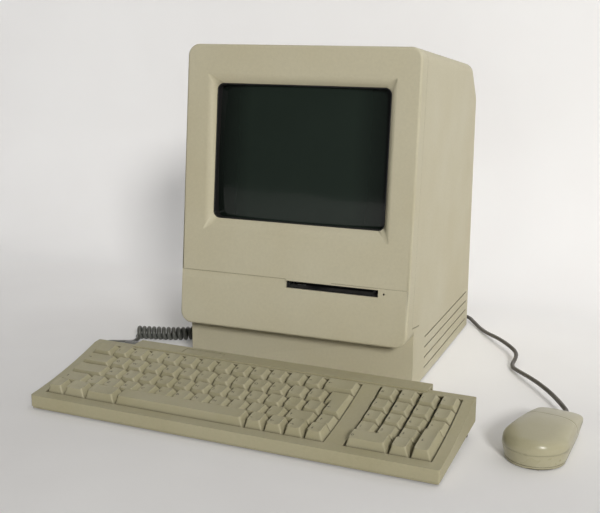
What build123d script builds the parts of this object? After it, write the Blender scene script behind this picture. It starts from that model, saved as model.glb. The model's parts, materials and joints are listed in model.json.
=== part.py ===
from build123d import *
import math
import os

# A compact all-in-one computer of about 1990 with its keyboard and mouse, laid out on a desk.
# Millimetres. While it is drawn, X = 0 is the middle of the computer, Y = 0 the lower front edge of
# its bezel, +Y its back and Z = 0 the desk. Each piece is written moved by set_place, so that in the
# files the origin is the middle of the set's footprint, leads left out.

os.makedirs("parts", exist_ok=True)

# --------------------------------------------------------------------------- driving dimensions

# computer case
case_width = 245.0
front_lean = 6.46               # degrees that the front face leans back
bezel_bottom = 52.7             # height of the bezel's lower edge
case_height = 337.0             # height of the front face's upper edge
case_depth = 276.5
rear_bevel_run = 27.5           # the sloped surface between the top and the back
rear_bevel_foot = 275.5
foot_setback = 26.0             # the foot stands back under the bezel
foot_gap = 2.0                  # height of the rubber feet
wall = 3.0
long_edge_radius = 12.0
front_edge_radius = 2.5
bevel_radius_top = 9.0
bevel_radius_low = 20.0
bezel_depth = 18.6
seam_gap = 0.4

# screen opening, measured up the front face from its lower edge
recess_width = 198.8
recess_height = 158.3
recess_middle = 178.3
recess_radius = 1.5
recess_depth = 8.0
glass_width = 184.0
glass_height = 136.7
glass_middle = 179.8
glass_radius = 7.0
glass_bulge_radius = 700.0
glass_setback = 9.0             # the glass's highest point lies this far behind the front face

# disk slot, sight line and finger ramp, on the front face
slot_width = 96.3
slot_height = 7.2
slot_middle_x = 43.2
slot_middle = 51.6
pinhole_radius = 1.1
pinhole_x = 97.1
sight_line = 56.9
sight_line_width = 0.7
ramp_height = 7.9
ramp_depth = 1.7
ramp_end_x = -5.6

# side vents
vent_count = 4
vent_length = 188.0
vent_height = 1.7
vent_pitch = 11.1
vent_low = 12.2
vent_front = 69.0
vent_rib_pitch = 8.5
vent_rib_width = 2.0
vent_rib_sink = 1.4
jog_length = 27.0
jog_drop = 4.0
jog_height = 66.5
jog_width = 1.1
jog_depth = 1.0

# back of the case
handle_width = 116.0
handle_depth = 38.0
handle_run = 34.0
handle_from_back = 36.0
handle_radius = 9.0
bay_left = -104.0
bay_right = 98.0
bay_low = 9.0
bay_high = 42.0
bay_depth = 10.0
grille_slot_height = 3.0
grille_slot_pitch = 6.4
grille_slot_count = 9
grille_slot_width = 56.0
label_width = 84.0
label_height = 46.0
label_height_on_back = 150.0
label_sink = 0.6
bevel_vent_count = 5
bevel_vent_pitch = 6.0
bevel_vent_width = 40.0
bevel_vent_x = 88.0
bevel_vent_height = 2.4

# picture tube
tube_margin = 11.0              # glass hidden behind the bezel, on every side
tube_corner = 20.0
tube_rim_depth = 25.0
tube_funnel_depth = 116.0
tube_funnel_width = 124.0        # of the funnel, halfway to the neck
tube_funnel_height = 93.0
tube_neck_radius = 10.2
tube_root_radius = 11.2         # of the neck where it leaves the funnel
tube_neck_length = 56.0
band_thickness = 2.0
band_width = 12.0
lug_size = 15.0
lug_x = 108.0
lug_up = 62.0
lug_thickness = 2.0
lug_boss_radius = 4.6
yoke_length = 36.0
yoke_radius = 33.0
yoke_body_radius = 25.0
yoke_flare_length = 6.0
yoke_clamp_radius = 14.2
yoke_clamp_length = 7.2
neck_board_size = 62.0
neck_board_corner = 3.0
neck_socket_length = 10.0
neck_clearance = 0.3

# frame, boards and drives
sheet = 1.5
shelf_height = 56.0
shelf_width = 219.0
shelf_front = 12.0
chassis_back = 262.0
chassis_leg_front = 34.0
side_plate_x = 110.5
side_plate_front = 96.0
side_plate_top = 285.0
upright_depth = 36.0
flange_width = 12.5
board_thickness = 1.6
logic_board_width = 200.0
logic_board_front = 45.0
standoff_height = 6.0
standoff_radius = 4.0
pillar_inset = 12.0             # of the pillars from the board's edges
board_margin = 8.0
board_inset = 4.0               # of the side board from the top of its plate
sink_along = 30.0               # places on the side board, from its front and its lower edge
sink_up = 60.0
sink_fin_count = 5
sink_fin_pitch = 6.0
sink_fin_reach = 22.0
sink_fin_thickness = 2.0
sink_height = 50.0
sink_foot = 3.0
transformer_along = 84.0
transformer_up = 34.0
transformer_reach = 30.0
transformer_width = 34.0
transformer_height = 36.0
capacitor_along = 76.0
capacitor_up = 72.0
capacitor_pitch = 16.0
capacitor_row_pitch = 20.0
capacitor_columns = 3
capacitor_radius = 6.0
capacitor_length = 20.0
flyback_along = 128.0
flyback_up = 116.0
flyback_reach = 34.0
flyback_width = 40.0
flyback_coil_radius = 14.0
flyback_coil_length = 12.0
flyback_coil_shift = 6.0
processor_x = -40.0             # places on the logic board, from its middle and its front edge
processor_along = 50.0
processor_size = 24.0
processor_height = 3.5
chip_x = 30.0
chip_along = 60.0
chip_pitch = 22.0
chip_row_pitch = 34.0
chip_count = 3
chip_width = 12.0
chip_length = 28.0
chip_height = 3.0
memory_x = -70.0
memory_along = 110.0
memory_pitch = 12.0
memory_count = 4
memory_thickness = 5.0
memory_length = 88.0
memory_height = 20.0
battery_x = 70.0
battery_along = 12.0
battery_radius = 8.5
battery_length = 50.0
drive_width = 101.6
disk_drive_height = 28.0
disk_drive_length = 150.0
disk_drive_low = 90.0
disk_drive_front = 11.5
disk_cavity_width = 94.0
disk_cavity_height = 6.8
disk_cavity_depth = 100.0
hard_drive_height = 25.4
hard_drive_length = 146.0
hard_drive_front = 40.0
hard_drive_corner = 3.0
speaker_size = 60.0
speaker_x = -70.0
speaker_front = 14.0
speaker_plate = 2.0
speaker_cone_radius = 27.0
speaker_cone_depth = 14.0
speaker_coil_radius = 12.0
speaker_magnet_radius = 15.0
speaker_magnet_length = 10.0
fan_size = 60.0
fan_depth = 20.0
fan_x = 62.0
fan_height = 235.0
fan_blade_radius = 26.0
fan_hub_radius = 12.0
fan_shaft_radius = 2.0
fan_blade_count = 7
fan_bearing_length = 7.0
fan_bearing_radius = 5.0
fan_spoke_count = 4
fan_spoke_width = 3.0
fan_blade_gap = 1.0
fan_blade_pitch = 38.0          # degrees
fan_blade_thickness = 1.2
fan_blade_chord = 14.0
fan_rotor_gap = 1.0             # from the rotor to the spokes, and to its bearing
fan_rotor_back_gap = 1.5
fan_shaft_sink = 0.5
shaft_clearance = 0.05

# sockets, power entry
bus_socket_first_x = -86.0
bus_socket_pitch = 29.0
bus_socket_count = 4
socket_width = 14.0
socket_height = 13.0
socket_length = 18.0
socket_face_stand = 1.5
socket_hole_radius = 4.2
socket_face_radius = 6.5
socket_hole_depth = 8.0
drive_port_x = 48.0
drive_port_width = 44.0
drive_port_height = 11.0
drive_port_corner = 2.0
drive_port_rim = 2.0
sound_jack_x = 86.0
sound_jack_radius = 4.0
sound_hole_radius = 1.8
power_x = -84.0
power_height = 112.0
power_plate_width = 31.0
power_plate_height = 62.0
power_plate_thickness = 2.5
power_plate_corner = 3.0
power_body_width = 27.0
power_body_height = 56.0
power_body_depth = 30.0
power_well_width = 24.0
power_well_height = 16.5
power_well_depth = 15.0
power_well_down = 14.5
prong_side = 7.0
prong_earth_up = 4.0
prong_thickness = 2.0
prong_height = 4.5
prong_sink = 2.0                # the prongs end this far inside the plate
rocker_width = 18.0
rocker_height = 21.0
rocker_up = 14.5
rocker_pin_radius = 1.5
rocker_pin_reach = 10.7         # half the length of its pin
rocker_pin_depth = 3.0
rocker_well_depth = 9.0
rocker_end_gap = 1.5
rocker_root = 5.0
rocker_draft = 3.0
rocker_low_stand = 0.5
rocker_middle_stand = 1.2
rocker_high_stand = 4.2

# screws and feet
case_screw_x = 103.5
case_screw_low = 65.0
case_screw_high = 266.0
case_screw_head_radius = 3.4
case_screw_head_height = 2.6
case_screw_radius = 1.9
case_screw_well = 6.0
case_boss_radius = 6.2
tube_screw_radius = 1.5
tube_screw_length = 14.0
tube_screw_head_radius = 2.85
tube_screw_head_height = 3.0
pad_radius = 7.0
pad_x = 100.0
pad_front = 45.0
pad_rear = 255.0

# keyboard, in its own frame: X along it from its left end, Y from its front edge, Z up
keyboard_x = -201.0
keyboard_y = -152.2
keyboard_turn = -1.78
keyboard_width = 400.4
keyboard_rear = 114.2
keyboard_wall = 2.2
keyboard_floor_front = 1.3
keyboard_floor_slope = 5.0      # degrees
keyboard_tray = 2.0
lip_height = 14.5
lip_rise = 1.1
lip_depth = 11.4
slope_rear = 105.6
slope_rear_height = 35.0
slope_sag = 2.2
rear_height = 35.6
keyboard_corner = 1.5
ridge_left = 45.0
ridge_right = 356.5
ridge_front = 107.6
ridge_rear = 126.5
ridge_top_wall = 1.4
ridge_rear_wall = 1.0
ridge_height = 36.9
key_pitch = 19.05
key_gap = 0.8
well_clearance = 0.55
well_left = 9.75
block_gap = 18.34
main_units = 15
pad_units = 4
row_count = 5
key_plane_front = 13.9
key_plane_rise = 20.0           # the key plane rises this much over the five rows
key_skirt = 1.8
key_travel = 3.3
key_floor_gap = 0.7             # left under a stem when its key is pressed home
key_wall = 1.2
key_side_inset = 3.2            # the tops are drawn in by this from the caps' sides
key_top_radius = 1.8
key_dish_depth = 0.55
row_rise = (8.6, 4.9, 4.1, 4.1, 4.8)     # height of each row's tops, from the front row back
row_lean = (-5.0, -5.0, -5.0, -4.0, -2.0)    # degrees that each row's tops lean towards the typist
row_front_inset = (3.0, 1.8, 1.5, 1.4, 1.4)  # tops drawn in from the caps' fronts
row_back_inset = (1.2, 2.0, 2.2, 2.4, 2.4)   # and from their backs
stem_width = 4.4
stem_depth = 3.4
stem_reach = 2.0
stem_clearance = 0.2
switch_size = 10.0
switch_top = 1.9                # how far the switch housings end below the key plane
backplate_thickness = 1.0
plate_post_x = (38.3, 134.2, 230.0, 337.3)     # from the left edge of the key plate
plate_post_y = (42.9, 90.5)                    # from its front edge
power_key_left = 101.0
power_key_width = 43.0
power_key_front = 110.6
power_key_depth = 11.2
power_key_thickness = 3.0
power_key_gap = 0.4
power_key_travel = 2.0
keyboard_socket_back = 120.7
keyboard_socket_height = 30.2
leg_width = 30.0
leg_thickness = 3.6
leg_inset = 5.0                 # from the end of the keyboard
leg_axis_y = 106.0
leg_axis_height = 13.0
leg_pin_radius = 1.5
leg_side_gap = 0.4
front_pad_radius = 5.0
front_pad_inset = 30.0
front_pad_y = 9.0

# mouse, in its own frame: Y towards its lead
mouse_x = 264.2
mouse_y = -56.7
mouse_turn = -8.5
mouse_length = 104.0
mouse_width = 56.8
mouse_height = 28.7
nose_width = 44.0               # of the end where the lead leaves
nose_corner = 12.0
mouse_split = 13.8
base_taper = 3.0
lip_groove = 0.5                # groove round the base that leaves a thin lip at the bottom
lip_groove_low = 3.0
lip_groove_high = 3.6
pivot_behind_seam = 5.0
pivot_z = 18.0
pivot_radius = 1.5
ear_x = 14.0
ear_thickness = 3.0
ear_depth = 8.0
ear_top = 3.0                   # above the pivot
skate_y = 44.0
skate_width = 20.0
skate_depth = 4.0
ring_hole_radius = 8.5
mouse_skate = 0.8
mouse_wall = 2.0
mouse_gap = 0.35
button_seam = 13.0
button_swing = 1.8
ball_radius = 10.0              # clears the button at full press
ball_back = 6.0                 # ball centre in front of the mouse's middle
ball_clearance = 0.3
ring_radius = 17.5
ring_thickness = 1.6
relief_length = 14.0
relief_radius = 3.4
relief_groove_count = 3
relief_groove_pitch = 3.5
relief_groove_depth = 0.7
relief_groove_width = 1.2
mouse_lead_height = 8.0
mouse_lead_exit = 5.0           # its straight stretch out of the strain relief

# leads and plugs
lead_diameter = 4.8
mouse_lead_diameter = 4.4
curl_diameter = 15.5
plug_radius = 6.4
plug_length = 16.0
plug_neck_radius = 3.6
plug_neck_length = 8.0
plug_barrel_radius = 4.0
plug_barrel_length = 6.5
plug_stand = 0.5

# middle of the set's footprint in the drawing
origin_x = 47.435
origin_y = 59.343

# --------------------------------------------------------------------------- derived planes and places

set_place = Location((-origin_x, -origin_y, 0))
lean = math.radians(front_lean)
half_width = case_width / 2
inner_back = case_depth - wall
bay_face = case_depth - bay_depth
bay_inside = bay_face - wall
floor_inside = foot_gap + wall

face = Plane(origin=(0, 0, bezel_bottom), x_dir=(1, 0, 0), z_dir=(0, -math.cos(lean), math.sin(lean)))
front_top_y = (case_height - bezel_bottom) * math.tan(lean)
bevel_top_y = case_depth - rear_bevel_run
bevel_top_z = case_height - (bevel_top_y - front_top_y) * math.tan(lean)


def on_face(x, up, depth):
    """Point at a place on the front face and a depth behind it."""
    return face.from_local_coords(Vector(x, up, -depth))


# --------------------------------------------------------------------------- case


def case_form(inset):
    """Closed envelope of the case, drawn in by inset on every side."""
    with BuildPart() as form:
        with BuildSketch(Plane.YZ) as side:
            with BuildLine():
                Polyline(
                    (0, bezel_bottom),
                    (front_top_y, case_height),
                    (bevel_top_y, bevel_top_z),
                    (case_depth, rear_bevel_foot),
                    (case_depth, bezel_bottom),
                    close=True,
                )
            make_face()
            if inset > 0:
                offset(amount=-inset, kind=Kind.INTERSECTION, mode=Mode.REPLACE)
            fillet(side.vertices().sort_by_distance((bevel_top_y, bevel_top_z))[0], bevel_radius_top)
            fillet(side.vertices().sort_by_distance((case_depth, rear_bevel_foot))[0], bevel_radius_low)
        extrude(amount=half_width - inset, both=True)
        outline_edges = form.faces().filter_by(Axis.X).edges()
        fillet(
            outline_edges.filter_by(lambda edge: edge.center().Y > front_top_y + inset),
            long_edge_radius - inset,
        )
        if inset == 0:
            fillet(form.faces().filter_by(face).sort_by(Axis.Y)[0].edges(), front_edge_radius)
        foot_low = foot_gap + inset
        foot_high = bezel_bottom + 3 * long_edge_radius
        foot_front = foot_setback + inset
        foot_back = case_depth - inset
        with BuildSketch(Plane.XY.offset(foot_low)):
            with Locations((0, (foot_front + foot_back) / 2)):
                Rectangle(case_width - 2 * inset, foot_back - foot_front)
        foot = extrude(amount=foot_high - foot_low, mode=Mode.PRIVATE)
        foot = foot.fillet(long_edge_radius - inset, foot.edges().filter_by(Axis.Z).sort_by(Axis.Y)[-2:])
        add(foot)
    return form.part


case_outside = case_form(0)
case_inside = case_form(wall)

with BuildPart() as front_bezel:
    add(case_outside)
    add(case_inside, mode=Mode.SUBTRACT)
    with BuildSketch(face.offset(-(bezel_depth - seam_gap))):
        with Locations((0, case_height / 2)):
            Rectangle(2 * case_width, 2 * case_height)
    extrude(amount=2 * bezel_depth, mode=Mode.INTERSECT)
    # the bevel round the screen and its collar, which reaches back to the glass
    with BuildSketch(face.offset(-front_edge_radius)):
        with Locations((0, recess_middle)):
            RectangleRounded(recess_width + 2 * wall, recess_height + 2 * wall, recess_radius + wall)
    with BuildSketch(face.offset(-recess_depth)):
        with Locations((0, glass_middle)):
            RectangleRounded(glass_width + 2 * wall, glass_height + 2 * wall, glass_radius + wall)
    loft()
    with BuildSketch(face.offset(-recess_depth)):
        with Locations((0, glass_middle)):
            RectangleRounded(glass_width + 2 * wall, glass_height + 2 * wall, glass_radius + wall)
    extrude(amount=-tube_rim_depth / 2)
    # posts for the picture tube's lugs
    with BuildSketch(face.offset(-wall / 2)):
        with Locations((0, glass_middle)):
            with GridLocations(2 * lug_x, 2 * lug_up, 2, 2):
                Circle(lug_boss_radius)
    extrude(amount=-(bezel_depth - wall / 2))
    with BuildSketch(face):
        with Locations((0, recess_middle)):
            RectangleRounded(recess_width, recess_height, recess_radius)
    with BuildSketch(face.offset(-recess_depth)):
        with Locations((0, glass_middle)):
            RectangleRounded(glass_width, glass_height, glass_radius)
    loft(mode=Mode.SUBTRACT)
    with BuildSketch(face.offset(-recess_depth)):
        with Locations((0, glass_middle)):
            RectangleRounded(glass_width, glass_height, glass_radius)
    extrude(amount=-tube_rim_depth, mode=Mode.SUBTRACT)
    with Locations(on_face(0, glass_middle, glass_setback + glass_bulge_radius)):
        Sphere(glass_bulge_radius + neck_clearance, mode=Mode.SUBTRACT)
    # disk slot, pinhole, sight line and finger ramp
    with BuildSketch(face):
        with Locations((slot_middle_x, slot_middle)):
            Rectangle(slot_width, slot_height)
        with Locations((pinhole_x, slot_middle)):
            Circle(pinhole_radius)
    extrude(amount=-2 * wall, mode=Mode.SUBTRACT)
    with BuildSketch(face):
        with Locations(((half_width + slot_middle_x) / 2, sight_line)):
            Rectangle(half_width - slot_middle_x, sight_line_width)
    extrude(amount=-sight_line_width, mode=Mode.SUBTRACT)
    with BuildSketch(Plane(origin=on_face(ramp_end_x, 0, 0), x_dir=face.y_dir, z_dir=(-1, 0, 0))):
        with BuildLine():
            Polyline(
                (sight_line, -front_edge_radius),
                (sight_line, ramp_depth),
                (sight_line - ramp_height, 0),
                (sight_line - ramp_height - front_edge_radius, -front_edge_radius),
                close=True,
            )
        make_face()
    extrude(amount=case_width, mode=Mode.SUBTRACT)
    # holes for the tube's screws
    with BuildSketch(face.offset(-bezel_depth)):
        with Locations((0, glass_middle)):
            with GridLocations(2 * lug_x, 2 * lug_up, 2, 2):
                Circle(tube_screw_radius + shaft_clearance)
    extrude(amount=bezel_depth - 2 * wall, mode=Mode.SUBTRACT)
front_bezel.part.label = "front_bezel"
export_step(set_place * front_bezel.part, "parts/front_bezel.step")

handle_middle = case_depth - handle_from_back - handle_run / 2
side_vent_middle = vent_front + vent_length / 2
bay_middle_x = (bay_left + bay_right) / 2
bay_middle_z = (bay_low + bay_high) / 2
bay_width = bay_right - bay_left
bay_height = bay_high - bay_low
vent_group_height = (vent_count - 1) * vent_pitch + 4 * vent_height
vent_group_middle = vent_low + (vent_count - 1) * vent_pitch / 2
screw_places = [(x, z) for x in (-case_screw_x, case_screw_x) for z in (case_screw_low, case_screw_high)]
board_top = floor_inside + standoff_height + board_thickness
socket_middle_z = board_top + socket_height / 2
bus_socket_x = [bus_socket_first_x + number * bus_socket_pitch for number in range(bus_socket_count)]
bevel_plane = Plane(
    origin=(0, bevel_top_y, bevel_top_z),
    x_dir=(1, 0, 0),
    z_dir=(0, bevel_top_z - rear_bevel_foot, rear_bevel_run),
)
bevel_slope_length = math.hypot(bevel_top_z - rear_bevel_foot, rear_bevel_run)

with BuildPart() as rear_housing:
    add(case_outside)
    add(case_inside, mode=Mode.SUBTRACT)
    with BuildSketch(face.offset(-bezel_depth)):
        with Locations((0, case_height / 2)):
            Rectangle(2 * case_width, 2 * case_height)
    extrude(amount=2 * bezel_depth, mode=Mode.SUBTRACT)
    # a tub for the carrying handle, sunk into the top
    tub_floor = case_height - (handle_middle - front_top_y) * math.tan(lean) - handle_depth
    with BuildSketch(Plane.XY.offset(tub_floor - wall)):
        with Locations((0, handle_middle)):
            RectangleRounded(handle_width + 2 * wall, handle_run + 2 * wall, handle_radius + wall)
    extrude(amount=handle_depth)
    with BuildSketch(Plane.XY.offset(tub_floor)):
        with Locations((0, handle_middle)):
            RectangleRounded(handle_width, handle_run, handle_radius)
    extrude(amount=2 * handle_depth, mode=Mode.SUBTRACT)
    # ribs behind the side vents, then the slots in front of them
    with BuildSketch(Plane.XZ.offset(-vent_front)):
        with Locations((0, vent_group_middle)):
            with GridLocations(case_width - 2 * wall, 0, 2, 1):
                Rectangle(wall, vent_group_height)
    extrude(amount=-vent_length)
    with BuildSketch(Plane.YZ):
        with Locations((side_vent_middle, vent_group_middle)):
            with GridLocations(0, vent_pitch, 1, vent_count):
                SlotOverall(vent_length, vent_height)
    extrude(amount=half_width + wall, both=True, mode=Mode.SUBTRACT)
    rib_count = int(vent_length / vent_rib_pitch)
    rib_middle_x = half_width - vent_rib_sink - wall / 2
    with Locations((-rib_middle_x, side_vent_middle, vent_group_middle)):
        with GridLocations(0, vent_rib_pitch, 1, rib_count):
            Box(wall, vent_rib_width, vent_group_height)
    with Locations((rib_middle_x, side_vent_middle, vent_group_middle)):
        with GridLocations(0, vent_rib_pitch, 1, rib_count):
            Box(wall, vent_rib_width, vent_group_height)
    # the short step in the seam on each side
    for side_x in (-half_width, half_width):
        jog_plane = Plane(origin=(side_x, bezel_depth + jog_length / 2, jog_height), x_dir=(0, 1, 0),
                          z_dir=(1, 0, 0))
        with BuildSketch(jog_plane):
            with Locations(Location((0, 0), -math.degrees(math.atan2(jog_drop, jog_length)))):
                Rectangle(jog_length, jog_width)
        extrude(amount=jog_depth, both=True, mode=Mode.SUBTRACT)
    # port bay
    with Locations((bay_middle_x, bay_inside, bay_middle_z)):
        Box(
            bay_width + 2 * wall,
            case_depth - bay_inside - wall / 2,
            bay_height + 2 * wall,
            align=(Align.CENTER, Align.MIN, Align.CENTER),
        )
    with Locations((bay_middle_x, bay_face, bay_middle_z)):
        Box(bay_width, 2 * bay_depth, bay_height, align=(Align.CENTER, Align.MIN, Align.CENTER),
            mode=Mode.SUBTRACT)
    with BuildSketch(Plane.XZ.offset(-bay_inside + wall)):
        for socket_x in bus_socket_x:
            with Locations((socket_x, socket_middle_z)):
                Circle(socket_face_radius + neck_clearance)
        with Locations((drive_port_x, socket_middle_z)):
            RectangleRounded(
                drive_port_width + 2 * neck_clearance,
                drive_port_height + 2 * neck_clearance,
                drive_port_corner + neck_clearance,
            )
        with Locations((sound_jack_x, socket_middle_z)):
            Circle(sound_jack_radius + neck_clearance)
    extrude(amount=-3 * wall, mode=Mode.SUBTRACT)
    # bosses for the case screws, with wells for their heads
    with BuildSketch(Plane.XZ.offset(-chassis_back)):
        with Locations(*screw_places):
            Circle(case_boss_radius)
    extrude(amount=-(inner_back - chassis_back))
    with BuildSketch(Plane.XZ.offset(-(case_depth - case_screw_well))):
        with Locations(*screw_places):
            Circle(case_screw_head_radius + neck_clearance)
    extrude(amount=-2 * case_screw_well, mode=Mode.SUBTRACT)
    with BuildSketch(Plane.XZ.offset(-chassis_back)):
        with Locations(*screw_places):
            Circle(case_screw_radius + neck_clearance)
    extrude(amount=-(case_depth - chassis_back), mode=Mode.SUBTRACT)
    # fan grille, its twin on the other side, vents in the bevel and the blank label panel
    with BuildSketch(Plane.XZ.offset(-inner_back + wall)):
        with Locations((0, fan_height)):
            with GridLocations(2 * fan_x, grille_slot_pitch, 2, grille_slot_count):
                SlotOverall(grille_slot_width, grille_slot_height)
    extrude(amount=-3 * wall, mode=Mode.SUBTRACT)
    with BuildSketch(bevel_plane):
        with Locations((0, -bevel_slope_length / 2)):
            with GridLocations(2 * bevel_vent_x, bevel_vent_pitch, 2, bevel_vent_count):
                SlotOverall(bevel_vent_width, bevel_vent_height)
    extrude(amount=2 * wall, both=True, mode=Mode.SUBTRACT)
    with Locations((fan_x, case_depth, label_height_on_back)):
        Box(label_width, 2 * label_sink, label_height, mode=Mode.SUBTRACT)
    # opening for the power entry
    with Locations((power_x, case_depth, power_height)):
        Box(power_body_width + 2 * neck_clearance, 4 * wall, power_body_height + 2 * neck_clearance,
            mode=Mode.SUBTRACT)
    # pillars for the logic board
    with BuildSketch(Plane.XY.offset(floor_inside)):
        with Locations((0, (logic_board_front + chassis_back) / 2)):
            with GridLocations(
                logic_board_width - 2 * pillar_inset,
                chassis_back - logic_board_front - 2 * pillar_inset,
                2,
                2,
            ):
                Circle(standoff_radius)
    extrude(amount=standoff_height)
rear_housing.part.label = "rear_housing"
export_step(set_place * rear_housing.part, "parts/rear_housing.step")

# --------------------------------------------------------------------------- picture tube

tube_width = glass_width + 2 * tube_margin
tube_height = glass_height + 2 * tube_margin
tube_front = glass_setback
rim_back = tube_rim_depth + lug_thickness + band_width
tube_axis = Axis(on_face(0, glass_middle, 0), -face.z_dir)
neck_start = tube_funnel_depth + tube_rim_depth
neck_end = neck_start + tube_neck_length
face_at_tube = Plane(origin=on_face(0, glass_middle, 0), x_dir=(1, 0, 0), z_dir=face.z_dir)

with BuildPart() as crt_tube:
    with BuildSketch(face_at_tube.offset(-tube_front)):
        RectangleRounded(tube_width, tube_height, tube_corner)
    extrude(amount=-(rim_back - tube_front))
    with Locations(on_face(0, glass_middle, glass_setback + glass_bulge_radius)):
        Sphere(glass_bulge_radius, mode=Mode.INTERSECT)
    with BuildSketch(face_at_tube.offset(-rim_back)):
        RectangleRounded(tube_width - 2 * band_thickness, tube_height - 2 * band_thickness, tube_corner)
    with BuildSketch(face_at_tube.offset(-(rim_back + neck_start) / 2)):
        RectangleRounded(tube_funnel_width, tube_funnel_height, tube_corner)
    with BuildSketch(face_at_tube.offset(-neck_start)):
        RectangleRounded(2 * tube_root_radius, 2 * tube_root_radius, tube_root_radius - neck_clearance)
    loft()
    with BuildSketch(face_at_tube.offset(-neck_start + sheet)):
        Circle(tube_neck_radius)
    extrude(amount=-(tube_neck_length + sheet))
crt_tube.part.label = "crt_tube"
export_step(set_place * crt_tube.part, "parts/crt_tube.step")

lug_depth = bezel_depth          # the lugs rest on the ends of the bezel's posts
with BuildPart() as crt_band:
    with BuildSketch(face_at_tube.offset(-(lug_depth + lug_thickness))):
        RectangleRounded(
            tube_width + 2 * band_thickness, tube_height + 2 * band_thickness, tube_corner + band_thickness
        )
        RectangleRounded(tube_width, tube_height, tube_corner, mode=Mode.SUBTRACT)
    extrude(amount=-band_width)
    with BuildSketch(face_at_tube.offset(-lug_depth)):
        with GridLocations(2 * lug_x, 2 * lug_up, 2, 2):
            Rectangle(lug_size, lug_size)
        with GridLocations(2 * lug_x - lug_size, 2 * lug_up, 2, 2):
            Rectangle(lug_size, lug_size)
        RectangleRounded(tube_width, tube_height, tube_corner, mode=Mode.SUBTRACT)
        with GridLocations(2 * lug_x, 2 * lug_up, 2, 2):
            Circle(tube_screw_radius + shaft_clearance, mode=Mode.SUBTRACT)
    extrude(amount=-lug_thickness)
crt_band.part.label = "crt_band"
export_step(set_place * crt_band.part, "parts/crt_band.step")

with BuildPart() as tube_screws:
    with BuildSketch(face_at_tube.offset(-(lug_depth + lug_thickness))):
        with GridLocations(2 * lug_x, 2 * lug_up, 2, 2):
            RegularPolygon(tube_screw_head_radius, 6)
    extrude(amount=-tube_screw_head_height)
    with BuildSketch(face_at_tube.offset(-(lug_depth + lug_thickness))):
        with GridLocations(2 * lug_x, 2 * lug_up, 2, 2):
            Circle(tube_screw_radius)
    extrude(amount=tube_screw_length)
tube_screws.part.label = "tube_screws"
export_step(set_place * tube_screws.part, "parts/tube_screws.step")

yoke_front = neck_start + neck_clearance
with BuildPart() as deflection_yoke:
    with BuildSketch(Plane(origin=on_face(0, glass_middle, 0), x_dir=(1, 0, 0), z_dir=face.y_dir)):
        # the profile turns about the tube's axis: a flared front coil, a body and a clamp on the neck
        with BuildLine():
            Polyline(
                (tube_neck_radius + neck_clearance, yoke_front),
                (yoke_radius, yoke_front),
                (yoke_radius, yoke_front + yoke_flare_length),
                (yoke_body_radius, yoke_front + 2 * yoke_flare_length),
                (yoke_body_radius, yoke_front + yoke_length - yoke_clamp_length),
                (yoke_clamp_radius, yoke_front + yoke_length - yoke_clamp_length),
                (yoke_clamp_radius, yoke_front + yoke_length),
                (tube_neck_radius + neck_clearance, yoke_front + yoke_length),
                close=True,
            )
        make_face()
    revolve(axis=tube_axis)
deflection_yoke.part.label = "deflection_yoke"
export_step(set_place * deflection_yoke.part, "parts/deflection_yoke.step")

with BuildPart() as crt_neck_board:
    with BuildSketch(face_at_tube.offset(-neck_end)):
        RectangleRounded(neck_board_size, neck_board_size, neck_board_corner)
    extrude(amount=-board_thickness)
    with BuildSketch(face_at_tube.offset(-neck_end)):
        Circle(yoke_clamp_radius)
        Circle(tube_neck_radius + neck_clearance, mode=Mode.SUBTRACT)
    extrude(amount=neck_socket_length)
crt_neck_board.part.label = "crt_neck_board"
export_step(set_place * crt_neck_board.part, "parts/crt_neck_board.step")

# --------------------------------------------------------------------------- frame, boards and drives

shelf_top = shelf_height + sheet
leg_x = shelf_width / 2
cage_left = slot_middle_x - drive_width / 2
cage_right = slot_middle_x + drive_width / 2
cage_front = disk_drive_front + 2 * wall
cage_back = disk_drive_front + disk_drive_length
board_face_x = -(side_plate_x - sheet - standoff_height / 2 - board_thickness)
side_board_high = side_plate_top - board_inset
side_board_low = shelf_top + standoff_height

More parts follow.
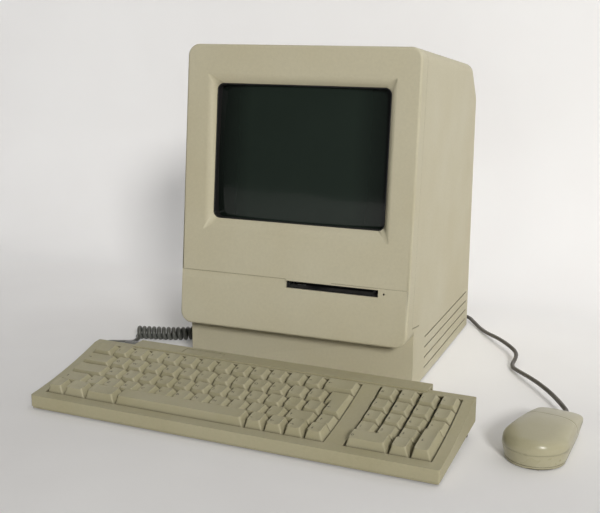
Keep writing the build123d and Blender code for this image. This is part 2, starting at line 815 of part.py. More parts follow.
with BuildPart() as chassis:
    # shelf, two legs to the floor of the case, the side plate and the right-hand upright
    with Locations((0, (shelf_front + chassis_back) / 2, shelf_height + sheet / 2)):
        Box(shelf_width, chassis_back - shelf_front, sheet)
    with Locations((0, (chassis_leg_front + chassis_back) / 2, (floor_inside + shelf_top) / 2)):
        with GridLocations(2 * leg_x - sheet, 0, 2, 1):
            Box(sheet, chassis_back - chassis_leg_front, shelf_top - floor_inside)
    with Locations((-side_plate_x + sheet / 2, (side_plate_front + chassis_back) / 2, 0)):
        Box(sheet, chassis_back - side_plate_front, side_plate_top,
            align=(Align.CENTER, Align.CENTER, Align.MIN))
    with Locations((side_plate_x - sheet / 2, chassis_back - upright_depth / 2, 0)):
        Box(sheet, upright_depth, side_plate_top, align=(Align.CENTER, Align.CENTER, Align.MIN))
    with Locations((0, chassis_back - sheet / 2, shelf_height)):
        with GridLocations(2 * side_plate_x - flange_width, 0, 2, 1):
            Box(flange_width, sheet, side_plate_top - shelf_height,
                align=(Align.CENTER, Align.CENTER, Align.MIN))
    # cage for the two drives
    for cage_x in (cage_left - sheet / 2, cage_right + sheet / 2):
        with Locations((cage_x, (cage_front + cage_back) / 2, shelf_height)):
            Box(sheet, cage_back - cage_front, disk_drive_low + disk_drive_height - shelf_height,
                align=(Align.CENTER, Align.CENTER, Align.MIN))
    with Locations((slot_middle_x, (cage_front + cage_back) / 2, disk_drive_low - sheet / 2)):
        Box(drive_width, cage_back - cage_front, sheet)
    # stand-offs for the side board
    with BuildSketch(Plane.YZ.offset(-side_plate_x + sheet)):
        with Locations(((side_plate_front + chassis_back) / 2, (side_board_low + side_board_high) / 2)):
            with GridLocations(
                chassis_back - side_plate_front - 2 * pillar_inset,
                side_board_high - side_board_low - 2 * pillar_inset,
                2,
                2,
            ):
                Circle(standoff_radius)
    extrude(amount=standoff_height / 2)
    # nothing of the frame reaches below the floor of the case
    with Locations((0, case_depth / 2, floor_inside)):
        Box(case_width, case_depth, floor_inside, align=(Align.CENTER, Align.CENTER, Align.MAX),
            mode=Mode.SUBTRACT)
    with BuildSketch(Plane.XZ.offset(-chassis_back - wall)):
        with Locations(*screw_places):
            Circle(case_screw_radius + shaft_clearance)
    extrude(amount=2 * wall, mode=Mode.SUBTRACT)
    # the ports and the power entry stand clear of the frame
    with Locations((0, chassis_back, bay_middle_z)):
        Box(2 * leg_x - 2 * sheet, 4 * sheet, bay_height, mode=Mode.SUBTRACT)
chassis.part.label = "chassis"
export_step(set_place * chassis.part, "parts/chassis.step")

with BuildPart() as case_screws:
    with BuildSketch(Plane.XZ.offset(-(case_depth - case_screw_well))):
        with Locations(*screw_places):
            Circle(case_screw_head_radius)
        with Locations(*screw_places):
            RegularPolygon(case_screw_radius, 6, mode=Mode.SUBTRACT)
    extrude(amount=-case_screw_head_height)
    with BuildSketch(Plane.XZ.offset(-(case_depth - case_screw_well + case_screw_head_height / 2))):
        with Locations(*screw_places):
            Circle(case_screw_radius)
    extrude(amount=inner_back - chassis_back + 3 * sheet)
case_screws.part.label = "case_screws"
export_step(set_place * case_screws.part, "parts/case_screws.step")

side_board_middle_y = (side_plate_front + chassis_back) / 2
with BuildPart() as analog_board:
    with Locations((board_face_x - board_thickness / 2, side_board_middle_y,
                    (side_board_low + side_board_high) / 2)):
        Box(board_thickness, chassis_back - side_plate_front - 2 * board_margin,
            side_board_high - side_board_low)
    # heat sink, transformer and a row of capacitors, all on the board's inner face
    with Locations((board_face_x, side_plate_front + sink_along, side_board_low + sink_up)):
        with GridLocations(0, sink_fin_pitch, 1, sink_fin_count):
            Box(sink_fin_reach, sink_fin_thickness, sink_height,
                align=(Align.MIN, Align.CENTER, Align.CENTER))
        Box(sink_foot, sink_fin_pitch * sink_fin_count, sink_height,
            align=(Align.MIN, Align.CENTER, Align.CENTER))
    with Locations((board_face_x, side_plate_front + transformer_along, side_board_low + transformer_up)):
        Box(transformer_reach, transformer_width, transformer_height,
            align=(Align.MIN, Align.CENTER, Align.CENTER))
    with BuildSketch(Plane.YZ.offset(board_face_x)):
        with Locations((side_plate_front + capacitor_along, side_board_low + capacitor_up)):
            with GridLocations(capacitor_pitch, capacitor_row_pitch, capacitor_columns, 2):
                Circle(capacitor_radius)
    extrude(amount=capacitor_length)
analog_board.part.label = "analog_board"
export_step(set_place * analog_board.part, "parts/analog_board.step")

flyback_y = side_plate_front + flyback_along
flyback_z = side_board_low + flyback_up
with BuildPart() as flyback_transformer:
    with Locations((board_face_x, flyback_y, flyback_z)):
        Box(flyback_reach, flyback_width, flyback_reach, align=(Align.MIN, Align.CENTER, Align.CENTER))
    with BuildSketch(Plane.YZ.offset(board_face_x + flyback_reach)):
        with Locations((flyback_y - flyback_coil_shift, flyback_z)):
            Circle(flyback_coil_radius)
    extrude(amount=flyback_coil_length)
flyback_transformer.part.label = "flyback_transformer"
export_step(set_place * flyback_transformer.part, "parts/flyback_transformer.step")

with BuildPart() as logic_board:
    with Locations((0, (logic_board_front + chassis_back) / 2, board_top - board_thickness / 2)):
        Box(logic_board_width, chassis_back - logic_board_front, board_thickness)
    # processor, a field of chips and the memory cards
    with Locations((processor_x, logic_board_front + processor_along, board_top)):
        Box(processor_size, processor_size, processor_height,
            align=(Align.CENTER, Align.CENTER, Align.MIN))
    with Locations((chip_x, logic_board_front + chip_along, board_top)):
        with GridLocations(chip_pitch, chip_row_pitch, chip_count, chip_count):
            Box(chip_width, chip_length, chip_height, align=(Align.CENTER, Align.CENTER, Align.MIN))
    with Locations((memory_x, logic_board_front + memory_along, board_top)):
        with GridLocations(memory_pitch, 0, memory_count, 1):
            Box(memory_thickness, memory_length, memory_height,
                align=(Align.CENTER, Align.CENTER, Align.MIN))
logic_board.part.label = "logic_board"
export_step(set_place * logic_board.part, "parts/logic_board.step")

with BuildPart() as backup_battery:
    with BuildSketch(Plane.XZ.offset(-(logic_board_front + battery_along))):
        with Locations((battery_x, board_top + battery_radius)):
            Circle(battery_radius)
    extrude(amount=-battery_length)
backup_battery.part.label = "backup_battery"
export_step(set_place * backup_battery.part, "parts/backup_battery.step")

with BuildPart() as floppy_drive:
    with Locations((slot_middle_x, disk_drive_front, disk_drive_low)):
        Box(drive_width, disk_drive_length, disk_drive_height, align=(Align.CENTER, Align.MIN, Align.MIN))
    slot_world_z = on_face(0, slot_middle, 0).Z
    with Locations((slot_middle_x, disk_drive_front, slot_world_z)):
        Box(disk_cavity_width, 2 * disk_cavity_depth, disk_cavity_height, mode=Mode.SUBTRACT)
floppy_drive.part.label = "floppy_drive"
export_step(set_place * floppy_drive.part, "parts/floppy_drive.step")

with BuildPart() as hard_drive:
    with Locations((slot_middle_x, hard_drive_front + hard_drive_length / 2, shelf_top)):
        Box(drive_width, hard_drive_length, hard_drive_height, align=(Align.CENTER, Align.CENTER, Align.MIN))
    fillet(hard_drive.edges().filter_by(Axis.Z), hard_drive_corner)
hard_drive.part.label = "hard_drive"
export_step(set_place * hard_drive.part, "parts/hard_drive.step")

with BuildPart() as speaker:
    with Locations((speaker_x, speaker_front, shelf_top)):
        Box(speaker_size, speaker_plate, speaker_size, align=(Align.CENTER, Align.MIN, Align.MIN))
    # the cone narrows back to its magnet
    with BuildSketch(Plane.XZ.offset(-speaker_front)):
        with Locations((speaker_x, shelf_top + speaker_size / 2)):
            Circle(speaker_cone_radius)
    with BuildSketch(Plane.XZ.offset(-(speaker_front + speaker_cone_depth))):
        with Locations((speaker_x, shelf_top + speaker_size / 2)):
            Circle(speaker_coil_radius)
    loft()
    with BuildSketch(Plane.XZ.offset(-(speaker_front + speaker_cone_depth))):
        with Locations((speaker_x, shelf_top + speaker_size / 2)):
            Circle(speaker_magnet_radius)
    extrude(amount=-speaker_magnet_length)
speaker.part.label = "speaker"
export_step(set_place * speaker.part, "parts/speaker.step")

# --------------------------------------------------------------------------- fan

fan_middle_y = inner_back - fan_depth / 2
with BuildPart() as fan_frame:
    with Locations((fan_x, fan_middle_y, fan_height)):
        Box(fan_size, fan_depth, fan_size)
    with BuildSketch(Plane.XZ.offset(-(inner_back - fan_depth - wall))):
        with Locations((fan_x, fan_height)):
            Circle(fan_blade_radius + fan_blade_gap)
    extrude(amount=-2 * fan_depth, mode=Mode.SUBTRACT)
    # hub plate and spokes on the inner side, with the bearing in their middle
    with BuildSketch(Plane.XZ.offset(-(inner_back - fan_depth))):
        with Locations((fan_x, fan_height)):
            Circle(fan_hub_radius)
            with PolarLocations((fan_blade_radius + fan_hub_radius) / 2, fan_spoke_count, 45):
                Rectangle(fan_blade_radius - fan_hub_radius + 2 * wall, fan_spoke_width)
    extrude(amount=-wall)
    with BuildSketch(Plane.XZ.offset(-(inner_back - fan_depth))):
        with Locations((fan_x, fan_height)):
            Circle(fan_bearing_radius)
    extrude(amount=-fan_bearing_length)
    with BuildSketch(Plane.XZ.offset(-(inner_back - fan_depth - wall))):
        with Locations((fan_x, fan_height)):
            Circle(fan_shaft_radius + shaft_clearance)
    extrude(amount=-2 * fan_depth, mode=Mode.SUBTRACT)
fan_frame.part.label = "fan_frame"
export_step(set_place * fan_frame.part, "parts/fan_frame.step")

fan_front = inner_back - fan_depth
rotor_front = fan_front + wall + fan_rotor_gap
rotor_back = inner_back - fan_rotor_back_gap
with BuildPart() as fan_rotor:
    with BuildSketch(Plane.XZ.offset(-rotor_front)):
        with Locations((fan_x, fan_height)):
            Circle(fan_hub_radius)
    extrude(amount=-(rotor_back - rotor_front))
    for blade in range(fan_blade_count):
        turn = 360 / fan_blade_count * blade
        reach = (fan_hub_radius - fan_blade_thickness + fan_blade_radius) / 2
        blade_place = Location((fan_x, (rotor_front + rotor_back) / 2, fan_height), (0, turn, 0))
        with Locations(blade_place * Location((reach, 0, 0), (fan_blade_pitch, 0, 0))):
            Box(fan_blade_radius - fan_hub_radius + fan_blade_thickness, fan_blade_thickness,
                fan_blade_chord)
    # hollow for the bearing, then the shaft
    with BuildSketch(Plane.XZ.offset(-fan_front)):
        with Locations((fan_x, fan_height)):
            Circle(fan_bearing_radius + fan_rotor_gap)
    extrude(amount=-(fan_bearing_length + fan_rotor_gap), mode=Mode.SUBTRACT)
    with BuildSketch(Plane.XZ.offset(-(fan_front + fan_shaft_sink))):
        with Locations((fan_x, fan_height)):
            Circle(fan_shaft_radius)
    extrude(amount=-(rotor_back - fan_front - fan_shaft_sink))
fan_rotor.part.label = "fan_rotor"
export_step(set_place * fan_rotor.part, "parts/fan_rotor.step")

# --------------------------------------------------------------------------- sockets and power entry

socket_face_y = bay_face + socket_face_stand
with BuildPart() as port_sockets:
    for socket_x in bus_socket_x:
        with Locations((socket_x, socket_face_y - socket_length, board_top)):
            Box(socket_width, socket_length - wall - socket_face_stand, socket_height,
                align=(Align.CENTER, Align.MIN, Align.MIN))
        with BuildSketch(Plane.XZ.offset(-(socket_face_y - socket_length))):
            with Locations((socket_x, socket_middle_z)):
                Circle(socket_face_radius)
        extrude(amount=-socket_length)
        with BuildSketch(Plane.XZ.offset(-(socket_face_y - socket_hole_depth))):
            with Locations((socket_x, socket_middle_z)):
                Circle(socket_hole_radius)
        extrude(amount=-2 * socket_hole_depth, mode=Mode.SUBTRACT)
    with Locations((drive_port_x, socket_face_y - socket_length, board_top)):
        Box(drive_port_width, socket_length - wall - socket_face_stand, socket_height,
            align=(Align.CENTER, Align.MIN, Align.MIN))
    with BuildSketch(Plane.XZ.offset(-(socket_face_y - socket_length))):
        with Locations((drive_port_x, socket_middle_z)):
            RectangleRounded(drive_port_width, drive_port_height, drive_port_corner)
    extrude(amount=-socket_length)
    with BuildSketch(Plane.XZ.offset(-(socket_face_y - socket_hole_depth))):
        with Locations((drive_port_x, socket_middle_z)):
            RectangleRounded(
                drive_port_width - 2 * drive_port_rim,
                drive_port_height - 2 * drive_port_rim,
                drive_port_corner,
            )
    extrude(amount=-2 * socket_hole_depth, mode=Mode.SUBTRACT)
    with Locations((sound_jack_x, socket_face_y - socket_length, board_top)):
        Box(2 * sound_jack_radius, socket_length - wall - socket_face_stand, socket_height,
            align=(Align.CENTER, Align.MIN, Align.MIN))
    with BuildSketch(Plane.XZ.offset(-(socket_face_y - socket_length))):
        with Locations((sound_jack_x, socket_middle_z)):
            Circle(sound_jack_radius)
    extrude(amount=-socket_length)
    with BuildSketch(Plane.XZ.offset(-(socket_face_y - socket_hole_depth))):
        with Locations((sound_jack_x, socket_middle_z)):
            Circle(sound_hole_radius)
    extrude(amount=-2 * socket_hole_depth, mode=Mode.SUBTRACT)
port_sockets.part.label = "port_sockets"
export_step(set_place * port_sockets.part, "parts/port_sockets.step")

power_back = case_depth + power_plate_thickness
rocker_z = power_height + rocker_up
power_well_z = power_height - power_well_down
with BuildPart() as power_entry:
    with BuildSketch(Plane.XZ.offset(-case_depth)):
        with Locations((power_x, power_height)):
            RectangleRounded(power_plate_width, power_plate_height, power_plate_corner)
    extrude(amount=-power_plate_thickness)
    with Locations((power_x, case_depth, power_height)):
        Box(power_body_width, power_body_depth, power_body_height,
            align=(Align.CENTER, Align.MAX, Align.CENTER))
    with Locations((power_x, power_back, power_well_z)):
        Box(power_well_width, power_well_depth, power_well_height,
            align=(Align.CENTER, Align.MAX, Align.CENTER), mode=Mode.SUBTRACT)
    # two live prongs side by side and an earth prong above them
    for prong_x, prong_z in ((0, prong_earth_up), (-prong_side, 0), (prong_side, 0)):
        with Locations((power_x + prong_x, power_back - prong_sink, power_well_z + prong_z)):
            Box(prong_thickness, power_well_depth, prong_height,
                align=(Align.CENTER, Align.MAX, Align.CENTER))
    with Locations((power_x, power_back, rocker_z)):
        Box(rocker_width + 2 * neck_clearance, rocker_well_depth, rocker_height + 2 * rocker_end_gap,
            align=(Align.CENTER, Align.MAX, Align.CENTER), mode=Mode.SUBTRACT)
    with BuildSketch(Plane.YZ.offset(power_x - rocker_pin_reach - shaft_clearance)):
        with Locations((power_back - rocker_pin_depth, rocker_z)):
            Circle(rocker_pin_radius + shaft_clearance)
    extrude(amount=2 * (rocker_pin_reach + shaft_clearance), mode=Mode.SUBTRACT)
power_entry.part.label = "power_entry"
export_step(set_place * power_entry.part, "parts/power_entry.step")

with BuildPart() as power_rocker:
    with BuildSketch(Plane.YZ.offset(power_x - rocker_width / 2)):
        with BuildLine():
            # the lower half is pressed in flush, the upper half stands out
            Polyline(
                (power_back - rocker_root, rocker_z - rocker_height / 2 + rocker_draft),
                (power_back + rocker_low_stand, rocker_z - rocker_height / 2),
                (power_back + rocker_middle_stand, rocker_z),
                (power_back + rocker_high_stand, rocker_z + rocker_height / 2),
                (power_back - rocker_root, rocker_z + rocker_height / 2 - rocker_draft),
                close=True,
            )
        make_face()
    extrude(amount=rocker_width)
    with BuildSketch(Plane.YZ.offset(power_x - rocker_pin_reach)):
        with Locations((power_back - rocker_pin_depth, rocker_z)):
            Circle(rocker_pin_radius)
    extrude(amount=2 * rocker_pin_reach)
power_rocker.part.label = "power_rocker"
export_step(set_place * power_rocker.part, "parts/power_rocker.step")

# --------------------------------------------------------------------------- keyboard case

keyboard_place = Location((keyboard_x, keyboard_y, 0), (0, 0, keyboard_turn))
tray_slope = math.radians(keyboard_floor_slope)
tray_normal = (0, -math.sin(tray_slope), math.cos(tray_slope))
tray_under = Plane(origin=(0, 0, keyboard_floor_front), x_dir=(1, 0, 0), z_dir=tray_normal)
tray_over = tray_under.offset(keyboard_tray)
key_slope = math.asin(key_plane_rise / (row_count * key_pitch))
backplate_top = stem_reach + key_travel + key_floor_gap     # below the key plane
key_plane = Plane(
    origin=(well_left, lip_depth, key_plane_front),
    x_dir=(1, 0, 0),
    z_dir=(0, -math.sin(key_slope), math.cos(key_slope)),
)
main_width = main_units * key_pitch
pad_width = pad_units * key_pitch
pad_start = main_width + block_gap
well_depth = row_count * key_pitch
ridge_length = ridge_right - ridge_left
ridge_middle = (ridge_left + ridge_right) / 2
power_key_middle_x = power_key_left + power_key_width / 2
power_key_middle_y = power_key_front + power_key_depth / 2
slope_middle_y = (lip_depth + slope_rear) / 2
slope_middle_z = (lip_height + lip_rise + slope_rear_height) / 2 - slope_sag


def keyboard_profile(top_wall, end_wall):
    """Side view of the keyboard's body, its top lowered and its ends drawn in."""
    with BuildSketch(Plane.YZ) as profile:
        with BuildLine():
            Polyline(
                (slope_rear, slope_rear_height - top_wall),
                (keyboard_rear - end_wall, rear_height - top_wall),
                (keyboard_rear - end_wall, 0),
                (end_wall, 0),
                (end_wall, lip_height - top_wall),
                (lip_depth, lip_height + lip_rise - top_wall),
            )
            ThreePointArc(
                (lip_depth, lip_height + lip_rise - top_wall),
                (slope_middle_y, slope_middle_z - top_wall),
                (slope_rear, slope_rear_height - top_wall),
            )
        make_face()
    return profile.sketch_local


outer_profile = keyboard_profile(0, 0)
inner_profile = keyboard_profile(keyboard_wall, keyboard_wall)

with BuildPart() as keyboard_top_case:
    with BuildSketch(Plane.YZ):
        add(outer_profile)
    extrude(amount=keyboard_width)
    with BuildSketch():
        with Locations((keyboard_width / 2, keyboard_rear / 2)):
            RectangleRounded(keyboard_width, keyboard_rear, keyboard_corner)
    extrude(amount=keyboard_rear, mode=Mode.INTERSECT)
    with Locations((ridge_left, ridge_front, 0)):
        Box(ridge_length, ridge_rear - ridge_front, ridge_height, align=(Align.MIN, Align.MIN, Align.MIN))
    with BuildSketch(Plane.YZ.offset(keyboard_wall)):
        add(inner_profile)
    extrude(amount=keyboard_width - 2 * keyboard_wall, mode=Mode.SUBTRACT)
    with Locations((ridge_left + keyboard_wall, ridge_front + keyboard_wall, 0)):
        Box(
            ridge_length - 2 * keyboard_wall,
            ridge_rear - ridge_rear_wall - ridge_front - keyboard_wall,
            ridge_height - ridge_top_wall,
            align=(Align.MIN, Align.MIN, Align.MIN),
            mode=Mode.SUBTRACT,
        )
    # wells for the two blocks of keys, cut square to the key plane
    with BuildSketch(key_plane.offset(-2 * backplate_top)):
        with Locations((main_width / 2, well_depth / 2)):
            Rectangle(main_width + 2 * well_clearance, well_depth + 2 * well_clearance)
        with Locations((pad_start + pad_width / 2, well_depth / 2)):
            Rectangle(pad_width + 2 * well_clearance, well_depth + 2 * well_clearance)
    extrude(amount=2 * backplate_top + keyboard_rear / 4, mode=Mode.SUBTRACT)
    # opening for the power key and the holes for the plugs in the ends of the ridge
    with Locations((power_key_middle_x, power_key_middle_y, ridge_height)):
        Box(
            power_key_width + 2 * power_key_gap,
            power_key_depth + 2 * power_key_gap,
            4 * keyboard_wall,
            mode=Mode.SUBTRACT,
        )
    with BuildSketch(Plane.YZ.offset(ridge_left - keyboard_wall)):
        with Locations((keyboard_socket_back, keyboard_socket_height)):
            Circle(socket_hole_radius)
    extrude(amount=ridge_length + 2 * keyboard_wall, mode=Mode.SUBTRACT)
    split(bisect_by=tray_over, keep=Keep.TOP)
keyboard_top_case.part.label = "keyboard_top_case"
export_step(set_place * keyboard_place * keyboard_top_case.part, "parts/keyboard_top_case.step")

pocket_front = leg_axis_y - leg_axis_height - leg_side_gap
pocket_back = leg_axis_y + leg_thickness / 2 + leg_side_gap
pocket_top = leg_axis_height + leg_thickness / 2 + leg_side_gap
pocket_width = leg_width + 2 * leg_side_gap
leg_middles = (leg_inset + leg_width / 2, keyboard_width - leg_inset - leg_width / 2)
tray_inset = keyboard_wall / 2

with BuildPart() as keyboard_bottom_case:
    with BuildSketch():
        with Locations((keyboard_width / 2, keyboard_rear / 2)):
            RectangleRounded(
                keyboard_width - 2 * tray_inset, keyboard_rear - 2 * tray_inset, keyboard_corner - tray_inset
            )
        with Locations((ridge_middle, (ridge_front + ridge_rear - ridge_rear_wall / 2) / 2)):
            Rectangle(ridge_length - 2 * tray_inset, ridge_rear - ridge_rear_wall / 2 - ridge_front)
    extrude(amount=keyboard_rear)
    split(bisect_by=tray_over, keep=Keep.BOTTOM)
    split(bisect_by=tray_under, keep=Keep.TOP)
    # pockets that take the folding feet, with holes for their pins
    for leg_middle in leg_middles:
        with Locations((leg_middle, pocket_front - keyboard_tray, 0)):
            Box(
                pocket_width + 2 * keyboard_tray,
                pocket_back - pocket_front + 2 * keyboard_tray,
                pocket_top + keyboard_tray,
                align=(Align.CENTER, Align.MIN, Align.MIN),
            )
        split(bisect_by=tray_under, keep=Keep.TOP)
        with Locations((leg_middle, pocket_front, 0)):
            Box(pocket_width, pocket_back - pocket_front, pocket_top,
                align=(Align.CENTER, Align.MIN, Align.MIN), mode=Mode.SUBTRACT)
        with BuildSketch(Plane.YZ.offset(leg_middle - leg_width / 2 - 2 * keyboard_tray)):
            with Locations((leg_axis_y, leg_axis_height)):
                Circle(leg_pin_radius + shaft_clearance)
        extrude(amount=leg_width + 4 * keyboard_tray, mode=Mode.SUBTRACT)
    # guide under the power key
    with Locations((power_key_middle_x, power_key_middle_y, 0)):
        with Locations((0, 0, ridge_height - power_key_thickness - power_key_travel - power_key_gap)):
            Box(stem_width + 2 * stem_clearance + 2 * keyboard_tray,
                stem_depth + 2 * stem_clearance + keyboard_tray, ridge_height / 2,
                align=(Align.CENTER, Align.CENTER, Align.MAX))
        with Locations((0, 0, ridge_height / 2)):
            Box(stem_width + 2 * stem_clearance, stem_depth + 2 * stem_clearance, ridge_height,
                align=(Align.CENTER, Align.CENTER, Align.MIN), mode=Mode.SUBTRACT)
keyboard_bottom_case.part.label = "keyboard_bottom_case"
export_step(set_place * keyboard_place * keyboard_bottom_case.part, "parts/keyboard_bottom_case.step")

leg_forms = []
for leg_middle in leg_middles:
    with BuildPart() as leg_form:
        with BuildSketch(Plane.YZ.offset(leg_middle - leg_width / 2)):
            with Locations((leg_axis_y, leg_axis_height)):
                Circle(leg_thickness / 2)
            with Locations((leg_axis_y, leg_axis_height / 2)):
                Rectangle(leg_thickness, leg_axis_height)
        extrude(amount=leg_width)
        with BuildSketch(Plane.YZ.offset(leg_middle - leg_width / 2 - keyboard_tray)):
            with Locations((leg_axis_y, leg_axis_height)):
                Circle(leg_pin_radius)
        extrude(amount=leg_width + 2 * keyboard_tray)
    leg_forms.append(leg_form.part)

with BuildPart() as keyboard_foot_left:
    add(leg_forms[0])
keyboard_foot_left.part.label = "keyboard_foot_left"
export_step(set_place * keyboard_place * keyboard_foot_left.part, "parts/keyboard_foot_left.step")

with BuildPart() as keyboard_foot_right:
    add(leg_forms[1])
keyboard_foot_right.part.label = "keyboard_foot_right"
export_step(set_place * keyboard_place * keyboard_foot_right.part, "parts/keyboard_foot_right.step")

with BuildPart() as keyboard_sockets:
    for socket_end, inward in ((ridge_left + keyboard_wall, 1), (ridge_right - keyboard_wall, -1)):
        socket_middle_x = socket_end + inward * socket_length / 2
        with Locations((socket_middle_x, keyboard_socket_back, keyboard_socket_height)):
            Box(socket_length, 2 * (ridge_rear - ridge_rear_wall - keyboard_socket_back),
                2 * (ridge_height - ridge_top_wall - keyboard_socket_height))
        with BuildSketch(Plane.YZ.offset(socket_end)):
            with Locations((keyboard_socket_back, keyboard_socket_height)):
                Circle(socket_hole_radius)
        extrude(amount=socket_hole_depth, both=True, mode=Mode.SUBTRACT)
keyboard_sockets.part.label = "keyboard_sockets"
export_step(set_place * keyboard_place * keyboard_sockets.part, "parts/keyboard_sockets.step")

# --------------------------------------------------------------------------- keys

# Each row of the layout: the left edge and the width of its keys, in key units, from the front row
# back. The main block's keys come first, then those of the number pad.
cursor_units = [(11.0, 1), (12.0, 1), (13.0, 1), (14.0, 1)]
number_units = [(0, 1.25)] + [(1.25 + place, 1) for place in range(12)]
upper_units = [(1.75 + place, 1) for place in range(12)]
home_units = [(2.0 + place, 1) for place in range(12)]
lower_units = [(1.5 + place, 1) for place in range(11)]
pad_unit = pad_start / key_pitch
return_left = 14.0              # left edges of the tall return key, low and high
return_upper_left = 13.75
return_middle = (return_left + main_units) / 2
front_row, shift_row, home_row, upper_row, number_row = range(row_count)


def top_plane(middle_x, middle_y, rise, lean_degrees):
    """Plane of a key's top above a place on the key plane."""
    turn = key_slope + math.radians(lean_degrees)
    place = key_plane.from_local_coords(Vector(middle_x, middle_y, rise))
    return Plane(origin=place, x_dir=(1, 0, 0), z_dir=(0, -math.sin(turn), math.cos(turn)))


def key_cap(left, row, width=1, rows=1, dish=key_dish_depth):
    """One hollow key top; left and width in key units, row counted from the front."""
    middle_x = (left + width / 2) * key_pitch
    middle_y = (row + rows / 2) * key_pitch
    base_width = width * key_pitch - key_gap
    base_depth = rows * key_pitch - key_gap
    top_width = base_width - 2 * key_side_inset
    front_inset, back_inset = row_front_inset[row], row_back_inset[row]
    top_depth = base_depth - front_inset - back_inset
    top_shift = (front_inset - back_inset) / 2
    top = top_plane(middle_x, middle_y, row_rise[row], row_lean[row])
    with BuildPart() as cap:
        with BuildSketch(key_plane.offset(-key_skirt)):
            with Locations((middle_x, middle_y)):
                RectangleRounded(base_width, base_depth, key_top_radius / 2)
        with BuildSketch(top):
            with Locations((0, top_shift)):
                RectangleRounded(top_width, top_depth, key_top_radius)
        loft()
        with BuildSketch(key_plane.offset(-key_skirt)):
            with Locations((middle_x, middle_y)):
                Rectangle(base_width - 2 * key_wall, base_depth - 2 * key_wall)
        with BuildSketch(top.offset(-key_wall - dish)):
            with Locations((0, top_shift)):
                Rectangle(top_width - 2 * key_wall, top_depth - 2 * key_wall)
        loft(mode=Mode.SUBTRACT)
        if dish > 0:
            radius = top_width**2 / (8 * dish) + dish / 2
            with BuildSketch(Plane(origin=top.origin, x_dir=(1, 0, 0), z_dir=-top.y_dir)):
                with Locations((0, radius - dish)):
                    Circle(radius)
            extrude(amount=base_depth, both=True, mode=Mode.SUBTRACT)
        with BuildSketch(key_plane.offset(-stem_reach)):
            with Locations((middle_x, middle_y)):
                Rectangle(stem_width, stem_depth)
        extrude(amount=stem_reach + row_rise[row] - dish - key_wall / 2)
    return cap.part


def return_outline(side, front, back):
    """Corners of the tall return key, drawn in at its sides, front and back."""
    low = home_row * key_pitch + front
    step = upper_row * key_pitch + front
    high = number_row * key_pitch - back
    right = main_width - side
    return [
        (return_left * key_pitch + side, low),
        (right, low),
        (right, high),
        (return_upper_left * key_pitch + side, high),
        (return_upper_left * key_pitch + side, step),
        (return_left * key_pitch + side, step),
    ]


def return_cap():
    """The tall return key, which fills parts of two rows."""
    middle_x = return_middle * key_pitch
    middle_y = upper_row * key_pitch
    rise = (row_rise[home_row] + row_rise[upper_row]) / 2
    lean_degrees = (row_lean[home_row] + row_lean[upper_row]) / 2
    top = top_plane(middle_x, middle_y, rise, lean_degrees)
    gap = key_gap / 2
    top_inset = (gap + key_side_inset, gap + row_front_inset[home_row], gap + row_back_inset[upper_row])
    with BuildPart() as cap:
        with BuildSketch(key_plane.offset(-key_skirt)):
            with Locations((0, 0)):
                Polygon(*return_outline(gap, gap, gap), align=None)
        with BuildSketch(top):
            with Locations((-middle_x, -middle_y)):
                Polygon(*return_outline(*top_inset), align=None)
        loft()
        with BuildSketch(key_plane.offset(-key_skirt)):
            with Locations((0, 0)):
                Polygon(*return_outline(gap + key_wall, gap + key_wall, gap + key_wall), align=None)
        with BuildSketch(top.offset(-key_wall)):
            with Locations((-middle_x, -middle_y)):
                Polygon(*return_outline(*[inset + key_wall for inset in top_inset]), align=None)
        loft(mode=Mode.SUBTRACT)
        with BuildSketch(key_plane.offset(-stem_reach)):
            with Locations((middle_x, middle_y)):
                Rectangle(stem_width, stem_depth)
        extrude(amount=stem_reach + rise - key_wall / 2)
    return cap.part


number_caps = [key_cap(left, number_row, width) for left, width in number_units]
delete_cap = key_cap(13.25, number_row, 1.75)
tab_cap = key_cap(0, upper_row, 1.75)
upper_caps = [key_cap(left, upper_row, width) for left, width in upper_units]
return_form = return_cap()
control_cap = key_cap(0, home_row, 2)
home_caps = [key_cap(left, home_row, width) for left, width in home_units]
shift_left_cap = key_cap(0, shift_row, 1.5)
lower_caps = [key_cap(left, shift_row, width) for left, width in lower_units]
shift_right_cap = key_cap(12.5, shift_row, 1.5)
cursor_caps = [key_cap(left, front_row, width) for left, width in cursor_units] + [key_cap(14, shift_row)]
caps_lock_cap = key_cap(0, front_row)
option_cap = key_cap(1, front_row, 1.25)
command_cap = key_cap(2.25, front_row, 1.75)
space_cap = key_cap(4, front_row, 7, dish=0)
keypad_caps = [key_cap(pad_unit + place, row)
               for row in (home_row, upper_row, number_row)
               for place in range(pad_units)]
keypad_caps += [key_cap(pad_unit + place, shift_row) for place in range(3)]
keypad_caps += [key_cap(pad_unit, front_row, 2), key_cap(pad_unit + 2, front_row)]
enter_cap = key_cap(pad_unit + pad_units - 1, front_row, 1, 2)

with BuildPart() as keys_number_row:
    add(number_caps)
keys_number_row.part.label = "keys_number_row"
export_step(set_place * keyboard_place * keys_number_row.part, "parts/keys_number_row.step")

with BuildPart() as key_delete:
    add(delete_cap)
key_delete.part.label = "key_delete"
export_step(set_place * keyboard_place * key_delete.part, "parts/key_delete.step")

with BuildPart() as key_tab:
    add(tab_cap)
key_tab.part.label = "key_tab"
export_step(set_place * keyboard_place * key_tab.part, "parts/key_tab.step")

with BuildPart() as keys_upper_row:
    add(upper_caps)
keys_upper_row.part.label = "keys_upper_row"
export_step(set_place * keyboard_place * keys_upper_row.part, "parts/keys_upper_row.step")

with BuildPart() as key_return:
    add(return_form)
key_return.part.label = "key_return"
export_step(set_place * keyboard_place * key_return.part, "parts/key_return.step")

with BuildPart() as key_control:
    add(control_cap)
key_control.part.label = "key_control"
export_step(set_place * keyboard_place * key_control.part, "parts/key_control.step")

